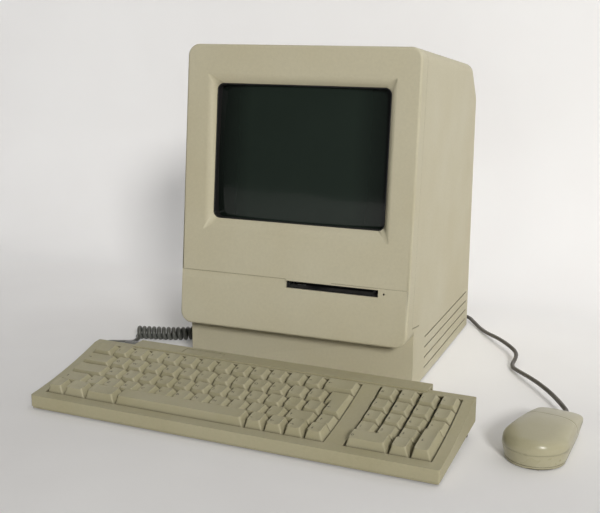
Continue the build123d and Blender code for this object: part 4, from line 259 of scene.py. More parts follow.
class Net:
    """A node tree with short ways to add nodes and join them."""

    def __init__(self, tree: bpy.types.NodeTree) -> None:
        """Keep the tree."""
        self.tree = tree

    def add(self, kind: str, **settings: object) -> bpy.types.Node:
        """Add a node and set its properties."""
        node = self.tree.nodes.new(kind)
        for key, value in settings.items():
            setattr(node, key, value)
        return node

    def put(self, socket: bpy.types.NodeSocket, value: object) -> None:
        """Join an output to a socket, or set the socket's own value."""
        if isinstance(value, bpy.types.NodeSocket):
            self.tree.links.new(value, socket)
        elif isinstance(value, tuple) and socket.type == "RGBA":
            socket.default_value = (*value, 1.0)
        else:
            socket.default_value = value

    def math(self, operation: str, *values: object, clamp: bool = False) -> bpy.types.NodeSocket:
        """Result of a Math node."""
        node = self.add("ShaderNodeMath", operation=operation, use_clamp=clamp)
        for socket, value in zip(node.inputs, values):
            self.put(socket, value)
        return node.outputs[0]

    def remap(self, value: object, low: float, high: float, start: object = 0.0,
              end: object = 1.0) -> bpy.types.NodeSocket:
        """Value carried from low..high to start..end, held inside them."""
        node = self.add("ShaderNodeMapRange")
        for name, setting in (("Value", value), ("From Min", low), ("From Max", high),
                              ("To Min", start), ("To Max", end)):
            self.put(node.inputs[name], setting)
        return node.outputs[0]

    def blend(self, share: object, first: object, second: object, mode: str = "MIX") -> bpy.types.NodeSocket:
        """Colour mixed from two by a share."""
        node = self.add("ShaderNodeMix", data_type="RGBA", blend_type=mode)
        self.put(node.inputs[0], share)
        self.put(node.inputs[6], first)
        self.put(node.inputs[7], second)
        return node.outputs[2]

    def noise(self, place: object, scale: object, detail: float = 2.0,
              roughness: float = 0.5) -> bpy.types.NodeSocket:
        """Value of a Noise Texture."""
        node = self.add("ShaderNodeTexNoise")
        self.put(node.inputs["Vector"], place)
        self.put(node.inputs["Scale"], scale)
        self.put(node.inputs["Detail"], detail)
        self.put(node.inputs["Roughness"], roughness)
        return node.outputs[0]

    def bump(self, height: object, distance: object, normal: object = None,
             strength: object = 1.0) -> bpy.types.NodeSocket:
        """Normal of a Bump node."""
        node = self.add("ShaderNodeBump")
        self.put(node.inputs["Height"], height)
        self.put(node.inputs["Distance"], distance)
        self.put(node.inputs["Strength"], strength)
        if normal is not None:
            self.put(node.inputs["Normal"], normal)
        return node.outputs[0]

    def place(self) -> bpy.types.NodeSocket:
        """Object coordinates."""
        return self.add("ShaderNodeTexCoord").outputs["Object"]

    def group(self, tree: bpy.types.NodeTree, **values: object) -> bpy.types.Node:
        """Add a node group with its inputs set; underscores in a name stand for spaces."""
        node = self.add("ShaderNodeGroup", node_tree=tree)
        for name, value in values.items():
            self.put(node.inputs[name.replace("_", " ")], value)
        return node


def new_group(name: str, inputs: dict[str, str], outputs: dict[str, str]) -> tuple[Net, dict, dict]:
    """Make an empty shader node group.

    Args:
        name: the group's name.
        inputs: socket kind by input name, such as Float, Color or Vector.
        outputs: the same for its outputs.

    Returns:
        The group's net, its inputs by name and its outputs by name.
    """
    tree = bpy.data.node_groups.new(name, "ShaderNodeTree")
    for side, sockets in (("INPUT", inputs), ("OUTPUT", outputs)):
        for socket_name, kind in sockets.items():
            tree.interface.new_socket(name=socket_name, in_out=side, socket_type="NodeSocket" + kind)
    net = Net(tree)
    entry, way_out = net.add("NodeGroupInput"), net.add("NodeGroupOutput")
    return net, {key: entry.outputs[key] for key in inputs}, {key: way_out.inputs[key] for key in outputs}


def aged_tone_group() -> bpy.types.NodeTree:
    """Colour that drifts from a fresh to an aged tone in large soft patches, with a faint fine mottle."""
    net, given, out = new_group(
        "aged_tone", {"Vector": "Vector", "Fresh": "Color", "Aged": "Color", "Patch": "Float"},
        {"Colour": "Color"},
    )
    patches = net.remap(net.noise(given["Vector"], given["Patch"], 3.0, 0.6), 0.35, 0.68)
    mottle = net.noise(given["Vector"], net.math("MULTIPLY", given["Patch"], 60.0), 4.0, 0.7)
    toned = net.blend(patches, given["Fresh"], given["Aged"])
    shade = net.remap(mottle, 0.3, 0.7, 0.965, 1.035)
    grey = net.add("ShaderNodeCombineColor")
    for socket in grey.inputs:
        net.put(socket, shade)
    net.put(out["Colour"], net.blend(1.0, toned, grey.outputs[0], "MULTIPLY"))
    return net.tree


def worn_edge_group() -> bpy.types.NodeTree:
    """Rounded normal at every edge, and a broken mask where the edges are rubbed."""
    net, given, out = new_group(
        "worn_edge", {"Vector": "Vector", "Radius": "Float"}, {"Mask": "Float", "Normal": "Vector"}
    )
    bevel = net.add("ShaderNodeBevel", samples=4)
    net.put(bevel.inputs["Radius"], given["Radius"])
    flat = net.add("ShaderNodeNewGeometry").outputs["Normal"]
    turn = net.add("ShaderNodeVectorMath", operation="DOT_PRODUCT")
    net.put(turn.inputs[0], bevel.outputs[0])
    net.put(turn.inputs[1], flat)
    edge = net.remap(turn.outputs["Value"], 0.985, 0.86)
    broken = net.remap(net.noise(given["Vector"], 90.0, 4.0, 0.7), 0.42, 0.62)
    net.put(out["Mask"], net.math("MULTIPLY", edge, broken, clamp=True))
    net.put(out["Normal"], bevel.outputs[0])
    return net.tree


def moulded_grain_group() -> bpy.types.NodeTree:
    """Fine pebbled grain of a moulded surface, over a slow unevenness of the wall."""
    net, given, out = new_group(
        "moulded_grain", {"Vector": "Vector", "Size": "Float", "Depth": "Float", "Normal": "Vector"},
        {"Normal": "Vector"},
    )
    scale = net.math("DIVIDE", 1.0, given["Size"])
    pebble = net.noise(given["Vector"], scale, 2.0, 0.55)
    slow = net.noise(given["Vector"], net.math("MULTIPLY", scale, 0.02), 1.0, 0.5)
    height = net.math("ADD", pebble, net.math("MULTIPLY", slow, 4.0))
    net.put(out["Normal"], net.bump(height, given["Depth"], given["Normal"]))
    return net.tree


def dust_and_shade_group() -> bpy.types.NodeTree:
    """Mask of dust on what faces up, thicker in patches, and of painted shade in the narrow places."""
    net, given, out = new_group(
        "dust_and_shade", {"Vector": "Vector", "Reach": "Float"}, {"Dust": "Float", "Painted Shade": "Float"}
    )
    split = net.add("ShaderNodeSeparateXYZ")
    net.put(split.inputs[0], net.add("ShaderNodeNewGeometry").outputs["Normal"])
    upward = net.remap(split.outputs["Z"], 0.35, 0.95)
    patch = net.remap(net.noise(given["Vector"], 34.0, 5.0, 0.65), 0.36, 0.7)
    net.put(out["Dust"], net.math("MULTIPLY", upward, patch))
    # painted shade: ambient occlusion turned into a mask that darkens hollows and gaps
    hollow = net.add("ShaderNodeAmbientOcclusion", samples=4)
    net.put(hollow.inputs["Distance"], given["Reach"])
    net.put(out["Painted Shade"], net.remap(hollow.outputs["AO"], 0.75, 0.2))
    return net.tree


class Groups:
    """The shared node groups, each built once."""

    aged_tone = aged_tone_group()
    worn_edge = worn_edge_group()
    moulded_grain = moulded_grain_group()
    dust_and_shade = dust_and_shade_group()


# ------------------------------------------------------------------------------------------ finishes


def start_material(name: str) -> tuple[bpy.types.Material, Net, bpy.types.Node]:
    """New material with its net and its Principled shader."""
    material = bpy.data.materials.new(name)
    material.use_nodes = True
    net = Net(material.node_tree)
    return material, net, material.node_tree.nodes["Principled BSDF"]


@dataclass(frozen=True)
class PlasticFinish:
    """Moulded plastic: aged colour, rubbed edges, dust, painted shade in the hollows, and a fine grain."""

    name: str
    fresh: Colour
    aged: Colour
    edge: Colour
    rough: tuple[float, float] = (0.5, 0.64)
    grain_size: float = 0.9 * MM
    grain_depth: float = 0.035 * MM
    rounding: float = 0.7 * MM
    dust: float = 0.16
    # strength of the painted shade in hollows
    hollow_shade: float = 0.55
    specular: float = 0.42
    patch: float = 6.0

    def material(self) -> bpy.types.Material:
        """Build the material."""
        material, net, shader = start_material(self.name)
        place = net.place()
        tone = net.group(Groups.aged_tone, Vector=place, Fresh=self.fresh, Aged=self.aged, Patch=self.patch)
        edge = net.group(Groups.worn_edge, Vector=place, Radius=self.rounding)
        grain = net.group(Groups.moulded_grain, Vector=place, Size=self.grain_size, Depth=self.grain_depth,
                          Normal=edge.outputs["Normal"])
        dust_shade_masks = net.group(Groups.dust_and_shade, Vector=place, Reach=3.5 * MM)
        dust = net.math("MULTIPLY", dust_shade_masks.outputs["Dust"], self.dust)
        hollow_shade = net.math("MULTIPLY", dust_shade_masks.outputs["Painted Shade"], self.hollow_shade)
        rubbed = net.math("MULTIPLY", edge.outputs["Mask"], 0.5)
        colour = net.blend(rubbed, tone.outputs["Colour"], self.edge)
        # painted shade: darker brownish colour where the surface is hemmed in
        colour = net.blend(hollow_shade, colour, (0.055, 0.045, 0.028))
        colour = net.blend(dust, colour, (0.40, 0.385, 0.35))
        net.put(shader.inputs["Base Color"], colour)
        gloss = net.remap(net.noise(place, 22.0, 4.0, 0.6), 0.3, 0.7, self.rough[0], self.rough[1])
        matt = net.math("MULTIPLY", dust, 0.8)
        net.put(shader.inputs["Roughness"], net.math("ADD", gloss, matt, clamp=True))
        net.put(shader.inputs["Normal"], grain.outputs["Normal"])
        net.put(shader.inputs["Specular IOR Level"], self.specular)
        return material


@dataclass(frozen=True)
class MetalFinish:
    """Sheet, cast or turned metal with spangle, a soft brush and dulled patches."""

    name: str
    colour: Colour
    rough: tuple[float, float] = (0.28, 0.46)
    spangle: float = 160.0
    rounding: float = 0.4 * MM

    def material(self) -> bpy.types.Material:
        """Build the material."""
        material, net, shader = start_material(self.name)
        place = net.place()
        cells = net.add("ShaderNodeTexVoronoi")
        net.put(cells.inputs["Vector"], place)
        net.put(cells.inputs["Scale"], self.spangle)
        split = net.add("ShaderNodeSeparateColor")
        net.put(split.inputs[0], cells.outputs["Color"])
        edge = net.group(Groups.worn_edge, Vector=place, Radius=self.rounding)
        dust_shade_masks = net.group(Groups.dust_and_shade, Vector=place, Reach=3.0 * MM)
        dark = tuple(0.72 * part for part in self.colour)
        colour = net.blend(net.remap(split.outputs[0], 0.0, 1.0, 0.0, 0.6), self.colour, dark)
        # painted shade: darker colour in the hollows, from the occlusion mask
        colour = net.blend(net.math("MULTIPLY", dust_shade_masks.outputs["Painted Shade"], 0.6), colour, (0.05, 0.045, 0.04))
        net.put(shader.inputs["Base Color"], colour)
        net.put(shader.inputs["Metallic"], 1.0)
        net.put(shader.inputs["Roughness"], net.remap(split.outputs[1], 0.0, 1.0, *self.rough))
        net.put(shader.inputs["Normal"],
                net.bump(net.noise(place, 1400.0, 2.0), 0.01 * MM, edge.outputs["Normal"], 0.6))
        return material


@dataclass(frozen=True)
class RubberFinish:
    """Rubber or a soft lead's jacket: dark, with a waxy bloom and small pits."""

    name: str
    colour: Colour
    bloom: Colour
    rough: tuple[float, float] = (0.38, 0.58)
    pit_depth: float = 0.02 * MM

    def material(self) -> bpy.types.Material:
        """Build the material."""
        material, net, shader = start_material(self.name)
        place = net.place()
        patch = net.remap(net.noise(place, 70.0, 5.0, 0.65), 0.4, 0.72)
        dust_shade_masks = net.group(Groups.dust_and_shade, Vector=place, Reach=2.0 * MM)
        colour = net.blend(net.math("MULTIPLY", patch, 0.5), self.colour, self.bloom)
        colour = net.blend(net.math("MULTIPLY", dust_shade_masks.outputs["Dust"], 0.25), colour, (0.36, 0.35, 0.33))
        net.put(shader.inputs["Base Color"], colour)
        net.put(shader.inputs["Roughness"], net.remap(patch, 0.0, 1.0, *self.rough))
        net.put(shader.inputs["Normal"], net.bump(net.noise(place, 1500.0, 2.0), self.pit_depth))
        return material


class Axis(Enum):
    """A coordinate's place in a point."""

    X = 0
    Y = 1
    Z = 2


@dataclass(frozen=True)
class BoardFinish:
    """Circuit board with traces and pads, and dark parts beyond a level along one axis."""

    name: str
    lacquer: Colour
    axis: Axis
    level: float
    parts: Colour = (0.022, 0.022, 0.023)

    def material(self) -> bpy.types.Material:
        """Build the material."""
        material, net, shader = start_material(self.name)
        place = net.place()
        split = net.add("ShaderNodeSeparateXYZ")
        net.put(split.inputs[0], place)
        beyond = net.math("GREATER_THAN", split.outputs[self.axis.value], self.level)
        cells = net.add("ShaderNodeTexVoronoi", feature="DISTANCE_TO_EDGE", distance="MANHATTAN")
        net.put(cells.inputs["Vector"], place)
        net.put(cells.inputs["Scale"], 330.0)
        traces = net.remap(cells.outputs["Distance"], 0.10, 0.05)
        pale = tuple(min(1.0, 1.7 * part) for part in self.lacquer)
        green = net.blend(net.math("MULTIPLY", traces, 0.55), self.lacquer, pale)
        dust_shade_masks = net.group(Groups.dust_and_shade, Vector=place, Reach=3.0 * MM)
        colour = net.blend(beyond, green, self.parts)
        colour = net.blend(net.math("MULTIPLY", dust_shade_masks.outputs["Dust"], 0.35), colour, (0.34, 0.33, 0.30))
        net.put(shader.inputs["Base Color"], colour)
        net.put(shader.inputs["Roughness"], net.remap(net.noise(place, 60.0, 3.0), 0.3, 0.7, 0.34, 0.5))
        net.put(shader.inputs["Normal"], net.bump(traces, 0.03 * MM))
        return material


@dataclass(frozen=True)
class WindingFinish:
    """Varnished copper wire wound round an axis, between dark formers."""

    name: str
    colour: Colour = (0.50, 0.19, 0.075)

    def material(self) -> bpy.types.Material:
        """Build the material."""
        material, net, shader = start_material(self.name)
        place = net.place()
        wires = net.add("ShaderNodeTexWave", wave_type="BANDS", bands_direction="X")
        net.put(wires.inputs["Vector"], place)
        net.put(wires.inputs["Scale"], 420.0)
        net.put(wires.inputs["Distortion"], 0.6)
        # painted shade: the colour darkens in the grooves between the turns of wire
        dark = tuple(0.35 * part for part in self.colour)
        net.put(shader.inputs["Base Color"], net.blend(wires.outputs["Fac"], dark, self.colour))
        net.put(shader.inputs["Metallic"], 0.85)
        net.put(shader.inputs["Roughness"], net.remap(net.noise(place, 90.0), 0.3, 0.7, 0.26, 0.4))
        net.put(shader.inputs["Normal"], net.bump(wires.outputs["Fac"], 0.12 * MM))
        return material


@dataclass(frozen=True)
class GlassFinish:
    """Thick tinted faceplate over a grey phosphor, or a bare glass neck."""

    name: str
    colour: Colour
    rough: float = 0.09
    specular: float = 0.5
    # painted shade: the glass colour darkens towards the left and right ends
    shade: float = 0.0                          # how much the colour darkens to the left and right ends
    middle_x: float = -ORIGIN.x
    half_width: float = 0.092

    def material(self) -> bpy.types.Material:
        """Build the material."""
        material, net, shader = start_material(self.name)
        place = net.place()
        veil = net.remap(net.noise(place, 9.0, 4.0, 0.6), 0.35, 0.7)
        smear = tuple(1.25 * part + 0.0015 for part in self.colour)
        split = net.add("ShaderNodeSeparateXYZ")
        net.put(split.inputs[0], place)
        off = net.math("ABSOLUTE", net.math("SUBTRACT", split.outputs["X"], self.middle_x))
        # painted shade at the screen's left and right ends
        edge = net.remap(off, 0.6 * self.half_width, self.half_width, 0.0, self.shade)
        dark = tuple(0.2 * part for part in self.colour)
        toned = net.blend(net.math("MULTIPLY", veil, 0.35), self.colour, smear)
        net.put(shader.inputs["Base Color"], net.blend(edge, toned, dark))
        net.put(shader.inputs["Roughness"], net.remap(veil, 0.0, 1.0, self.rough, self.rough + 0.05))
        net.put(shader.inputs["Specular IOR Level"], self.specular)
        net.put(shader.inputs["IOR"], 1.52)
        net.put(shader.inputs["Coat Weight"], net.remap(veil, 0.0, 1.0, 0.25, 0.18))
        net.put(shader.inputs["Normal"], net.bump(net.noise(place, 30.0, 1.0), 0.01 * MM))
        return material


@dataclass(frozen=True)
class InkFinish:
    """Dye printed into a key top: matt and a little faded."""

    name: str
    colour: Colour

    def material(self) -> bpy.types.Material:
        """Build the material."""
        material, net, shader = start_material(self.name)
        faded = tuple(part + 0.07 for part in self.colour)
        worn = net.remap(net.noise(net.place(), 260.0, 3.0), 0.45, 0.75)
        net.put(shader.inputs["Base Color"], net.blend(worn, self.colour, faded))
        net.put(shader.inputs["Roughness"], net.remap(worn, 0.0, 1.0, 0.6, 0.72))
        return material


class Finish:
    """Every finish of the set, each built once."""

    case = PlasticFinish("case_plastic", fresh=(0.545, 0.510, 0.375), aged=(0.515, 0.470, 0.325),
                         edge=(0.60, 0.57, 0.44)).material()
    keyboard = PlasticFinish("keyboard_plastic", fresh=(0.410, 0.379, 0.250), aged=(0.383, 0.348, 0.214),
                             edge=(0.52, 0.48, 0.33), hollow_shade=0.75).material()
    keys = PlasticFinish("key_plastic", fresh=(0.415, 0.384, 0.257), aged=(0.384, 0.352, 0.222),
                         edge=(0.54, 0.50, 0.36), rough=(0.44, 0.6), grain_size=0.55 * MM,
                         grain_depth=0.018 * MM, rounding=0.9 * MM, hollow_shade=0.75, patch=18.0).material()
    mouse = PlasticFinish("mouse_plastic", fresh=(0.425, 0.398, 0.268), aged=(0.390, 0.360, 0.228),
                          edge=(0.52, 0.48, 0.34), rough=(0.24, 0.34), grain_size=0.5 * MM,
                          grain_depth=0.006 * MM, rounding=0.5 * MM, dust=0.06, hollow_shade=0.6, specular=0.5,
                          patch=14.0).material()
    black = PlasticFinish("black_plastic", fresh=(0.012, 0.012, 0.013), aged=(0.017, 0.016, 0.016),
                          edge=(0.05, 0.05, 0.05), rough=(0.38, 0.5), dust=0.05, hollow_shade=0.3).material()
    switch = PlasticFinish("switch_plastic", fresh=(0.72, 0.71, 0.66), aged=(0.66, 0.64, 0.56),
                           edge=(0.78, 0.78, 0.74), rough=(0.4, 0.5)).material()
    ivory = PlasticFinish("yoke_plastic", fresh=(0.60, 0.58, 0.50), aged=(0.55, 0.52, 0.42),
                          edge=(0.66, 0.64, 0.56), rough=(0.4, 0.5)).material()
    steel = MetalFinish("zinc_sheet", colour=(0.56, 0.57, 0.58)).material()
    screw = MetalFinish("screw_steel", colour=(0.42, 0.41, 0.40), rough=(0.25, 0.4),
                        spangle=420.0).material()
    drive = MetalFinish("drive_casting", colour=(0.58, 0.59, 0.60), rough=(0.38, 0.52),
                        spangle=700.0).material()
    spring = MetalFinish("spring_steel", colour=(0.66, 0.66, 0.68), rough=(0.2, 0.32),
                         spangle=260.0).material()
    copper = WindingFinish("copper_winding").material()
    glass = GlassFinish("screen_glass", colour=(0.0130, 0.0205, 0.0155), rough=0.10, specular=0.30,
                        shade=0.9).material()
    funnel = GlassFinish("funnel_coating", colour=(0.035, 0.036, 0.038), rough=0.45).material()
    neck = GlassFinish("neck_glass", colour=(0.20, 0.22, 0.21), rough=0.06).material()
    foot = RubberFinish("foot_rubber", colour=(0.035, 0.034, 0.033), bloom=(0.07, 0.068, 0.064)).material()
    ball = RubberFinish("ball_rubber", colour=(0.045, 0.045, 0.047), bloom=(0.085, 0.085, 0.085)).material()
    curl = RubberFinish("curl_jacket", colour=(0.085, 0.088, 0.078), bloom=(0.125, 0.127, 0.115),
                        rough=(0.33, 0.46)).material()
    lead = RubberFinish("lead_jacket", colour=(0.062, 0.054, 0.044), bloom=(0.10, 0.09, 0.075),
                        rough=(0.36, 0.5)).material()
    plug = PlasticFinish("plug_plastic", fresh=(0.17, 0.172, 0.165), aged=(0.145, 0.145, 0.135),
                         edge=(0.25, 0.25, 0.24), rough=(0.22, 0.32), grain_depth=0.004 * MM, dust=0.05,
                         specular=0.5).material()
    ink = InkFinish("legend_ink", colour=(0.055, 0.05, 0.04)).material()
    pale_ink = InkFinish("switch_ink", colour=(0.62, 0.62, 0.60)).material()


def dress(piece: bpy.types.Object, finish: bpy.types.Material) -> bpy.types.Object:
    """Give a piece one finish."""
    piece.data.materials.clear()
    piece.data.materials.append(finish)
    return piece


# ------------------------------------------------------------------------------------------ computer


@dataclass
class Computer:
    """The upright case with its screen, disk slot and what the case holds."""

    glass_half_width: float = 0.1026
    glass_half_height: float = 0.0790
    glass_middle: float = 0.1798                # up the front face
    glass_setback: float = 0.009
    glass_bulge: float = 0.700
    glass_power: float = 9.0                    # of the superellipse that is the tube's outline
    glass_edge: float = 0.025                   # depth behind the face at which bare glass ends
    rim_depth: float = 0.039
    funnel_end: float = 0.141
    neck_radius: float = 0.0102
    neck_end: float = 0.197
    opening_half_width: float = 0.09198
    opening_half_height: float = 0.06833
    opening_radius: float = 0.00698
    # the black strip of painted shade in the screen opening
    strip_front: float = 0.0083                  # behind the front face
    strip_width: float = 0.0011
    strip_depth: float = 0.0102
    slot_middle: tuple[float, float] = (0.0432, 0.0516)

    def build(self) -> None:
        """Build and dress every piece of the computer."""
        self.shells()
        self.picture_tube()
        self.gap_shade_strip()
        self.disk_slot()
        self.inner_parts()
        self.power_marks()
        log.info("computer built")

    def shells(self) -> None:
        """The two shells of the case, shaded smooth over their rounded edges."""
        for node, name in (("front_bezel", "bezel_shell"), ("rear_housing", "housing_shell")):
            dress(smooth_copy(node, name), Finish.case)
            log.info("%s dressed", name)

    def tube_ring(self, scale: float, depth: float, half_width: float, half_height: float,
                  power: float, count: int) -> np.ndarray:
        """One ring of the tube in face coordinates: a superellipse scaled about the tube's axis."""
        turn = np.linspace(0, 2 * math.pi, count, endpoint=False)
        flat = scale * superellipse(turn, half_width, half_height, power)
        return np.column_stack([flat[:, 0], flat[:, 1] + self.glass_middle, np.full(count, depth)])

    def picture_tube(self) -> None:
        """Faceplate, funnel and neck as one skin of rings.

        The faceplate's depth is that of a sphere: setback + R - sqrt(R^2 - x^2 - y^2). The funnel's half
        sizes fall from the rim's to the neck's along a cosine, and its outline turns from a rounded
        rectangle to a circle.
        """
        count, face_steps, funnel_steps, neck_steps = 128, 26, 18, 6
        shoulder = 0.002
        rim = (self.glass_half_width, self.glass_half_height, self.glass_power, count)
        rings = []
        for scale in np.linspace(0.0, 1.0, face_steps) ** 0.8:
            ring = self.tube_ring(scale, 0.0, *rim)
            reach = ring[:, 0] ** 2 + (ring[:, 1] - self.glass_middle) ** 2
            ring[:, 2] = self.glass_setback + self.glass_bulge - np.sqrt(self.glass_bulge**2 - reach)
            rings.append(ring)
        rings.append(self.tube_ring(1.0, self.rim_depth, *rim))
        for share in np.linspace(0.02, 1.0, funnel_steps):
            fall = 0.5 + 0.5 * math.cos(math.pi * share**0.85)
            width = self.neck_radius + (self.glass_half_width - shoulder - self.neck_radius) * fall
            height = self.neck_radius + (self.glass_half_height - shoulder - self.neck_radius) * fall
            depth = self.rim_depth + (self.funnel_end - self.rim_depth) * share
            power = 2.0 + (self.glass_power - 2.0) * fall**2
            rings.append(self.tube_ring(1.0, depth, width, height, power, count))
        for depth in np.linspace(self.funnel_end + shoulder, self.neck_end, neck_steps):
            rings.append(self.tube_ring(1.0, depth, self.neck_radius, self.neck_radius, 2.0, count))
        rings.append(self.tube_ring(0.0, self.neck_end, self.neck_radius, self.neck_radius, 2.0, count))
        points = place_points(np.array(rings), FACE)
        tube = add_mesh("picture_tube", points, grid_faces(len(rings), count, wrap=True))
        sharpen(tube, 40.0)
        for finish in (Finish.glass, Finish.funnel, Finish.neck):
            tube.data.materials.append(finish)
        back = np.array(FACE.inverted().to_3x3())[2]
        shift = FACE.inverted().translation[2]
        middles = np.zeros(3 * len(tube.data.polygons))
        tube.data.polygons.foreach_get("center", middles)
        depths = middles.reshape(-1, 3) @ back + shift
        zones = np.where(depths < self.glass_edge, 0, np.where(depths < self.funnel_end, 1, 2))
        tube.data.polygons.foreach_set("material_index", zones.astype(np.int32))
        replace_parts(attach(tube, "desk_set"), "crt_tube")
        log.info("picture tube built from %d rings", len(rings))

    def gap_shade_strip(self) -> None:
        """Black strip that lines the edge of the screen opening, from its front back to the glass: painted
        shade of the deep gap behind the lip.

        Each ring is the opening's rounded rectangle, whole or drawn in by the strip's width.
        """
        corner_steps = 12
        turn = np.linspace(0, math.pi / 2, corner_steps)
        middle_x = self.opening_half_width - self.opening_radius
        middle_y = self.opening_half_height - self.opening_radius
        rings = []
        for inset, depth in ((0.0, 0.0), (self.strip_width, 0.0), (self.strip_width, self.strip_depth),
                             (0.0, self.strip_depth), (0.0, 0.0)):
            radius = self.opening_radius - inset
            outline = []
            for quarter, (side, up) in enumerate(((1, 1), (-1, 1), (-1, -1), (1, -1))):
                angle = turn + quarter * math.pi / 2
                outline.append(np.column_stack([side * middle_x + radius * np.cos(angle),
                                                up * middle_y + radius * np.sin(angle)]))
            flat = np.concatenate(outline)
            rings.append(np.column_stack([flat[:, 0], flat[:, 1] + self.glass_middle,
                                          np.full(len(flat), self.strip_front + depth)]))
        points = place_points(np.array(rings), FACE)
        shade_strip = add_mesh("gap_shade_strip", points, grid_faces(len(rings), len(points[0]), wrap=True))
        sharpen(shade_strip, 40.0)
        dress(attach(shade_strip, "desk_set"), Finish.black)

    def face_block(self, name: str, middle: tuple[float, float, float], size: tuple[float, float, float],
                   rounding: float) -> bpy.types.Object:
        """Block with rounded edges, square to the front face.

        Args:
            name: the piece's name.
            middle: across, up the face and depth behind it.
            size: the same three ways.
            rounding: radius of its edges.

        Returns:
            The piece, riding on the case.
        """
        signs = np.array(np.meshgrid((-0.5, 0.5), (-0.5, 0.5), (-0.5, 0.5), indexing="ij")).reshape(3, -1).T
        faces = [(0, 1, 3, 2), (4, 6, 7, 5), (0, 4, 5, 1), (2, 3, 7, 6), (0, 2, 6, 4), (1, 5, 7, 3)]
        block = add_mesh(name, place_points(signs * np.array(size) + np.array(middle), FACE), faces)
        bevel = block.modifiers.new("rounded", "BEVEL")
        bevel.width = rounding
        bevel.segments = 3
        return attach(block, "desk_set")

    def disk_slot(self) -> None:
        """What shows inside the disk slot: the dark door and the small bright springs beside it."""
        x, up = self.slot_middle
        door = self.face_block("slot_door", (x, up + 0.0003, 0.0172), (0.0915, 0.0060, 0.0012), 0.0003)
        dress(door, Finish.black)
        for name, across, lift, width, height in (
            ("slot_spring_long", -0.0365, -0.0017, 0.0100, 0.0010),
            ("slot_spring_pin", -0.0430, 0.0014, 0.0012, 0.0018),
            ("slot_spring_short", 0.0400, -0.0012, 0.0022, 0.0014),
        ):
            spring = self.face_block(name, (x + across, up + lift, 0.0155), (width, height, 0.0018), 0.0002)
            dress(spring, Finish.spring)
        log.info("disk slot fitted")

    def inner_parts(self) -> None:
        """Finishes of what the case holds."""
        board_top = 0.0126
        side_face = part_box("analog_board")[0].x + 0.0017
        logic = BoardFinish("logic_lacquer", (0.030, 0.115, 0.055), Axis.Z, board_top + 0.0002).material()
        analog = BoardFinish("side_lacquer", (0.150, 0.105, 0.045), Axis.X, side_face,
                             parts=(0.030, 0.032, 0.040)).material()
        drive_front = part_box("floppy_drive")[0].y + 0.012
        floppy = BoardFinish("floppy_body", (0.018, 0.018, 0.019), Axis.Y, drive_front,
                             parts=(0.34, 0.345, 0.35)).material()
        for node, name, finish, slot in (
            ("crt_band", "tube_band", Finish.steel, "steel"),
            ("tube_screws", "tube_bolts", Finish.screw, "steel"),
            ("deflection_yoke", "yoke_coils", Finish.copper, "copper"),
            ("crt_neck_board", "neck_board", analog, "board"),
            ("chassis", "sheet_frame", Finish.steel, "steel"),
            ("analog_board", "side_board", analog, "board"),
            ("flyback_transformer", "line_transformer", Finish.black, "dark_plastic"),
            ("logic_board", "main_board", logic, "board"),
            ("backup_battery", "clock_cell", Finish.ivory, "dark_plastic"),
            ("floppy_drive", "disk_drive", floppy, "drive_metal"),
            ("hard_drive", "fixed_drive", Finish.drive, "drive_metal"),
            ("speaker", "cone_speaker", Finish.black, "dark_plastic"),
            ("fan_frame", "fan_housing", Finish.black, "dark_plastic"),
            ("fan_rotor", "fan_wheel", Finish.black, "dark_plastic"),
            ("port_sockets", "bus_sockets", Finish.black, "socket_plastic"),
            ("power_entry", "mains_entry", Finish.black, "socket_plastic"),
            ("power_rocker", "mains_rocker", Finish.black, "dark_plastic"),
            ("case_screws", "case_bolts", Finish.screw, "steel"),
            ("rubber_feet", "soft_feet", Finish.foot, "foot_rubber"),
        ):
            dress(smooth_copy(node, name), finish)
        log.info("inner parts dressed")

    def power_marks(self) -> None:
        """Plain on and off strokes printed on the rocker: a bar above and a ring below."""
        low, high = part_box("power_rocker")
        middle_x, middle_z = (low.x + high.x) / 2, (low.z + high.z) / 2
        tree = surface_tree("power_rocker")
        turn = np.linspace(0, 2 * math.pi, 33)
        reach, stroke, from_middle = 0.0026, 0.0006, 0.0052
        half_bar = 0.0004
        radii = (reach - stroke, reach)
        ring = np.stack([np.outer(radii, np.cos(turn)), np.outer(radii, np.sin(turn))], axis=-1)
        bar = np.array([[(side * half_bar, up * reach) for side in (-1, 1)] for up in (-1, 1)])
        for name, flat, shift in (("mark_off", ring, -from_middle), ("mark_on", bar, from_middle)):
            points = []
            for across, up in flat.reshape(-1, 2):
                start = Vector((middle_x - across, high.y + 0.02, middle_z + shift + up))
                points.append(tree.ray_cast(start, Vector((0, -1, 0)))[0] + Vector((0, 0.00004, 0)))
            mark = add_mesh(name, np.array(points), grid_faces(*flat.shape[:2]), outward=False)
            dress(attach(mark, "power_rocker"), Finish.pale_ink)
        log.info("rocker marked")


# ------------------------------------------------------------------------------------------ keyboard


@dataclass(frozen=True)
class KeyMark:
    """A mark for one key: its sign, and the key's left edge, row and height in key units."""

    sign: str
    left: float
    row: int
    rows: int = 1


